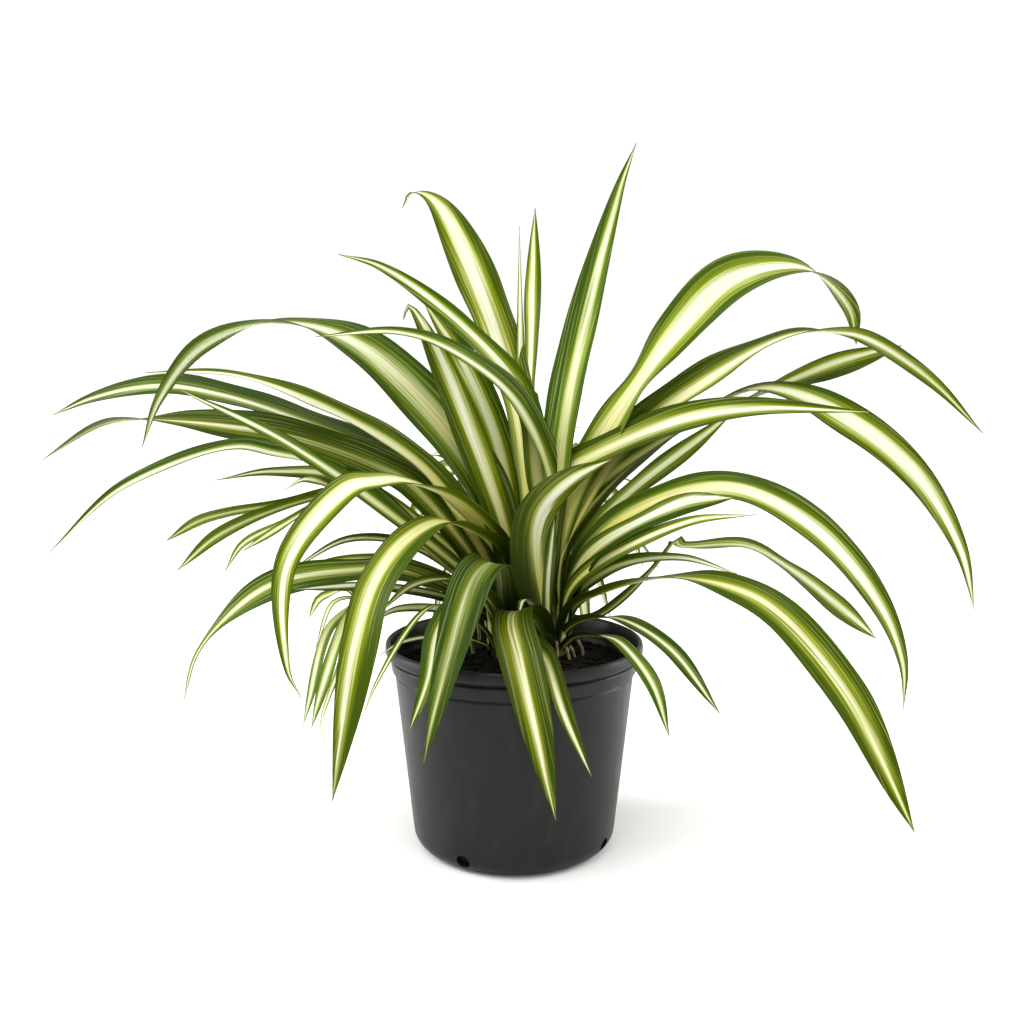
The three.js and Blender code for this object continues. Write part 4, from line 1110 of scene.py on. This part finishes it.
# %% Pot shape
LIP_RADIUS = 82.5
POT_HEIGHT = 134
FOOT_RADIUS = 65.4
FOOT_ROUND = 12
FOOT_FROM_DEG, FOOT_TO_DEG = -90, -4
BODY_TOP = (76.4, 113.6)
WALL = 1.8
FLOOR_Z = 3
DRAIN_RADIUS = 4.6
DRAIN_TILT_DEG = 18
DRAIN_DEGS = (-119, -29, 61, 151)
DRAIN_LENGTH = 14
DRAIN_SIDES = 32
POT_SIDES = 180
POT_CREASE_DEG = 35


def rounded(corners, steps=5):
    """An outline whose corners, given as radius, height and cut, are rounded off."""
    spots = [Vector((r, z)) for r, z, _ in corners]
    outline = [tuple(spots[0])]
    for i in range(1, len(spots) - 1):
        cut = corners[i][2]
        before, here, after = spots[i - 1 : i + 2]
        if cut <= 0:
            outline.append(tuple(here))
            continue
        start = here + (before - here).normalized() * min(cut, (before - here).length * 0.48)
        end = here + (after - here).normalized() * min(cut, (after - here).length * 0.48)
        for k in range(steps + 1):
            t = k / steps
            bend = start * (1 - t) ** 2 + here * (2 * t * (1 - t)) + end * t**2
            outline.append(tuple(bend))
    outline.append(tuple(spots[-1]))
    return outline


def foot_arc(radius, steps=12):
    """Points of the pot's rounded foot, as outline corners that stay as they are."""
    centre = FOOT_RADIUS - FOOT_ROUND
    span = FOOT_TO_DEG - FOOT_FROM_DEG
    degs = [FOOT_FROM_DEG + span * i / steps for i in range(steps + 1)]
    turns = [math.radians(deg) for deg in degs]
    return [(centre + radius * math.cos(a), FOOT_ROUND + radius * math.sin(a), 0) for a in turns]


inner_round = FOOT_ROUND - WALL
inner_foot = [(r, z + FLOOR_Z - WALL, 0) for r, z, _ in foot_arc(inner_round)]
outline = [
    (0, 0, 0),
    *foot_arc(FOOT_ROUND),
    (*BODY_TOP, 0.8),
    (75.7, 115.1, 0.5),
    (78.3, 116.2, 1.0),
    (79.3, 123.8, 1.0),
    (77.9, 124.9, 0.5),
    (79.2, 126.1, 0.5),
    (82.2, 127.0, 1.6),
    (LIP_RADIUS, 130.4, 1.6),
    (81.9, POT_HEIGHT, 1.7),
    (79.2, POT_HEIGHT, 1.4),
    (77.9, 129, 2.0),
    (76.6, 120, 1.0),
    (BODY_TOP[0] - WALL, BODY_TOP[1], 1.0),
    *reversed(inner_foot),
    (0, FLOOR_Z, 0),
]
pot = turned_mesh("pot_shell", rounded(outline), POT_SIDES, pot_plastic)
tilt = math.radians(DRAIN_TILT_DEG)
for deg in DRAIN_DEGS:
    a = math.radians(deg)
    out = Vector((math.cos(a), math.sin(a), 0))
    far = FOOT_RADIUS - FOOT_ROUND * (1 - math.cos(tilt))
    place = (out * far + Vector((0, 0, FOOT_ROUND * (1 - math.sin(tilt))))) * MM
    cutter_mesh = bmesh.new()
    axis = out * math.cos(tilt) - Vector((0, 0, math.sin(tilt)))
    turn = axis.to_track_quat("Z", "Y").to_matrix().to_4x4()
    bmesh.ops.create_cone(
        cutter_mesh,
        cap_ends=True,
        segments=DRAIN_SIDES,
        radius1=DRAIN_RADIUS * MM,
        radius2=DRAIN_RADIUS * MM,
        depth=DRAIN_LENGTH * MM,
        matrix=Matrix.Translation(place) @ turn,
    )
    data = bpy.data.meshes.new("drain")
    cutter_mesh.to_mesh(data)
    cutter_mesh.free()
    cutter = bpy.data.objects.new("drain", data)
    scene.collection.objects.link(cutter)
    cut = pot.modifiers.new("drain", "BOOLEAN")
    cut.object = cutter
    cut.operation = "DIFFERENCE"
    cut.solver = "EXACT"
    bpy.context.view_layer.update()
    shown = pot.evaluated_get(bpy.context.evaluated_depsgraph_get())
    whole = bpy.data.meshes.new_from_object(shown)
    pot.modifiers.clear()
    pot.data = whole
    bpy.data.objects.remove(cutter)
pot.data.shade_smooth()
pot.data.set_sharp_from_angle(angle=math.radians(POT_CREASE_DEG))
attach(pot, "root")
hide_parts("pot")
print("pot faces", len(pot.data.polygons))

# %% [markdown]
# ## Soil
# Potting mix is peat with chips of bark: dark, crumbly, and heaped a little toward the
# plant. It is painted nearly black, partly its own dark colour and partly painted shade
# from the leaves above. The top is a fine disc whose height is a hump plus three sizes of
# noise. Chips of bark lie on it, each a lump pushed out of round, sunk in by about half.

# %% Soil shape
SOIL_EDGE = (74.9, 117.4)
SOIL_HUMP = 5.4
SOIL_LUMPS = ((16, 1.0), (5, 0.8), (2, 0.45))
SOIL_SHOULDER = (74.2, 113.4)
SOIL_GAP = 0.3
CHIPS = 420
CHIP_SEED = 21
CHIPS_RADIUS = 72
CHIP_SIZES = (0.7, 2.6)
CHIP_LEAST, CHIP_MOST = (1, 0.6, 0.35), (1.7, 1.1, 0.8)
CHIP_BULGE = 0.45


def soil_height(x, y):
    """Height of the soil's top at a place, in millimetres."""
    share = min(1.0, math.hypot(x, y) / SOIL_EDGE[0])
    z = SOIL_EDGE[1] + SOIL_HUMP * (1 - share**2.2)
    for size, high in SOIL_LUMPS:
        z += high * noise.noise(Vector((x / size, y / size, size))) * min(1, (1 - share) * 12)
    return z


sectors, circles = 150, 64
headings = [2 * math.pi * k / sectors for k in range(sectors)]
vertices = []
for i in range(1, circles + 1):
    far = SOIL_EDGE[0] * i / circles
    for a in headings:
        x, y = far * math.cos(a), far * math.sin(a)
        vertices.append((x * MM, y * MM, soil_height(x, y) * MM))
side = [SOIL_SHOULDER]
side += [(r - SOIL_GAP, z + SOIL_GAP) for r, z, _ in reversed(inner_foot)]
vertices += in_metres(polar((0, 0), far, a, z) for far, z in side for a in headings)
rows = circles + len(side)
faces = strips(rows, sectors, turned=True)
vertices.append((0, 0, soil_height(0, 0) * MM))
faces += [(len(vertices) - 1, k, (k + 1) % sectors) for k in range(sectors)]
last = (rows - 1) * sectors
faces.append(tuple(last + k for k in reversed(range(sectors))))
soil = mesh_object("soil_body", vertices, faces, potting_mix)
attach(soil, "root")
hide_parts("soil")

draw = np.random.default_rng(CHIP_SEED)
lump = bmesh.new()
bmesh.ops.create_icosphere(lump, subdivisions=2, radius=1)
lump_points = [v.co.copy() for v in lump.verts]
lump_faces = [tuple(v.index for v in f.verts) for f in lump.faces]
lump.free()
vertices, faces = [], []
for _ in range(CHIPS):
    far = CHIPS_RADIUS * math.sqrt(draw.uniform(0, 1))
    a = draw.uniform(0, 2 * math.pi)
    x, y = far * math.cos(a), far * math.sin(a)
    size = draw.uniform(*CHIP_SIZES)
    shape = np.array(draw.uniform(CHIP_LEAST, CHIP_MOST)) * size
    turn = Matrix.Rotation(draw.uniform(0, 2 * math.pi), 3, "Z")
    turn = turn @ Matrix.Rotation(draw.uniform(-0.5, 0.5), 3, "X")
    centre = Vector((x, y, soil_height(x, y) + 0.15 * size))
    shift = Vector(draw.uniform(-50, 50, 3))
    start = len(vertices)
    for p in lump_points:
        bulge = 1 + CHIP_BULGE * noise.noise(p * 1.3 + shift)
        pushed = Vector([c * bulge * s for c, s in zip(p, shape)])
        vertices.append((centre + turn @ pushed) * MM)
    faces += [tuple(start + i for i in face) for face in lump_faces]
chips = mesh_object("bark_chips", vertices, faces, bark)
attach(chips, "root")
print("soil faces", len(soil.data.polygons), "chips", CHIPS)

# %% [markdown]
# ## Root stubs
# A few fleshy pale roots leave the right crown just above the soil and dive into it. Each
# is a short tapering tube along an arc.

# %% Root stubs
STUB_DEGS = (-78, -58, -35, -14)
STUB_SIDES = 10
STUB_RADIUS = 1.25
STUB_TAPER = 0.35
STUB_STEP = 1 * MM
STUB_INSET = 3
STUB_REACH = 9
STUB_HIGH_Z = 131
STUB_END_Z = 118
vertices, faces = [], []
for number, deg in enumerate(STUB_DEGS):
    a = math.radians(deg)
    start = CROWN_RADIUS - STUB_INSET
    reach = STUB_REACH + 2.5 * (number % 2)
    high = STUB_HIGH_Z - 2 * (number % 3)
    end = start + reach
    spots = [(start, high), (end - reach * 0.4, high + 0.5), (end, high - 7), (end, STUB_END_Z)]
    points = [polar(CROWNS["right"], r, a, z) for r, z in spots]
    line, _ = smooth_line(in_metres(points), STUB_STEP)
    along = unit(np.gradient(line, axis=0))
    sideways = np.array((-math.sin(a), math.cos(a), 0.0))
    above = np.cross(along, sideways)
    radii = [(STUB_RADIUS - STUB_TAPER * i / len(line)) * MM for i in range(len(line))]
    first = [sideways] * len(line)
    stub = tube(line, first, above, radii, STUB_SIDES, start=len(vertices))
    vertices += stub[0]
    faces += stub[1]
stubs = mesh_object("root_stubs", vertices, faces, root_skin)
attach(stubs, "root")
print("root stubs", len(STUB_DEGS))

# %% [markdown]
# ## Floor
# The plant stands on a plain white sweep. A wide floor under a white world does the same,
# and its horizon melts into the white. It is not attached to the plant.

# %% Floor
FLOOR_HALF = 9.0
FLOOR_CLOUD = 0.6

studio_white, tree, shader = new_material("white studio floor")
cloud = noise_at(tree, FLOOR_CLOUD, detail=2.0)
paint(tree, shader, cloud, (0.3, "f9f9f8"), (0.7, "fdfdfc"))
shader.inputs["Roughness"].default_value = 0.9
corners = [(-FLOOR_HALF, -FLOOR_HALF, 0), (FLOOR_HALF, -FLOOR_HALF, 0)]
corners += [(FLOOR_HALF, FLOOR_HALF, 0), (-FLOOR_HALF, FLOOR_HALF, 0)]
floor = mesh_object("floor", corners, [(0, 1, 2, 3)], studio_white)
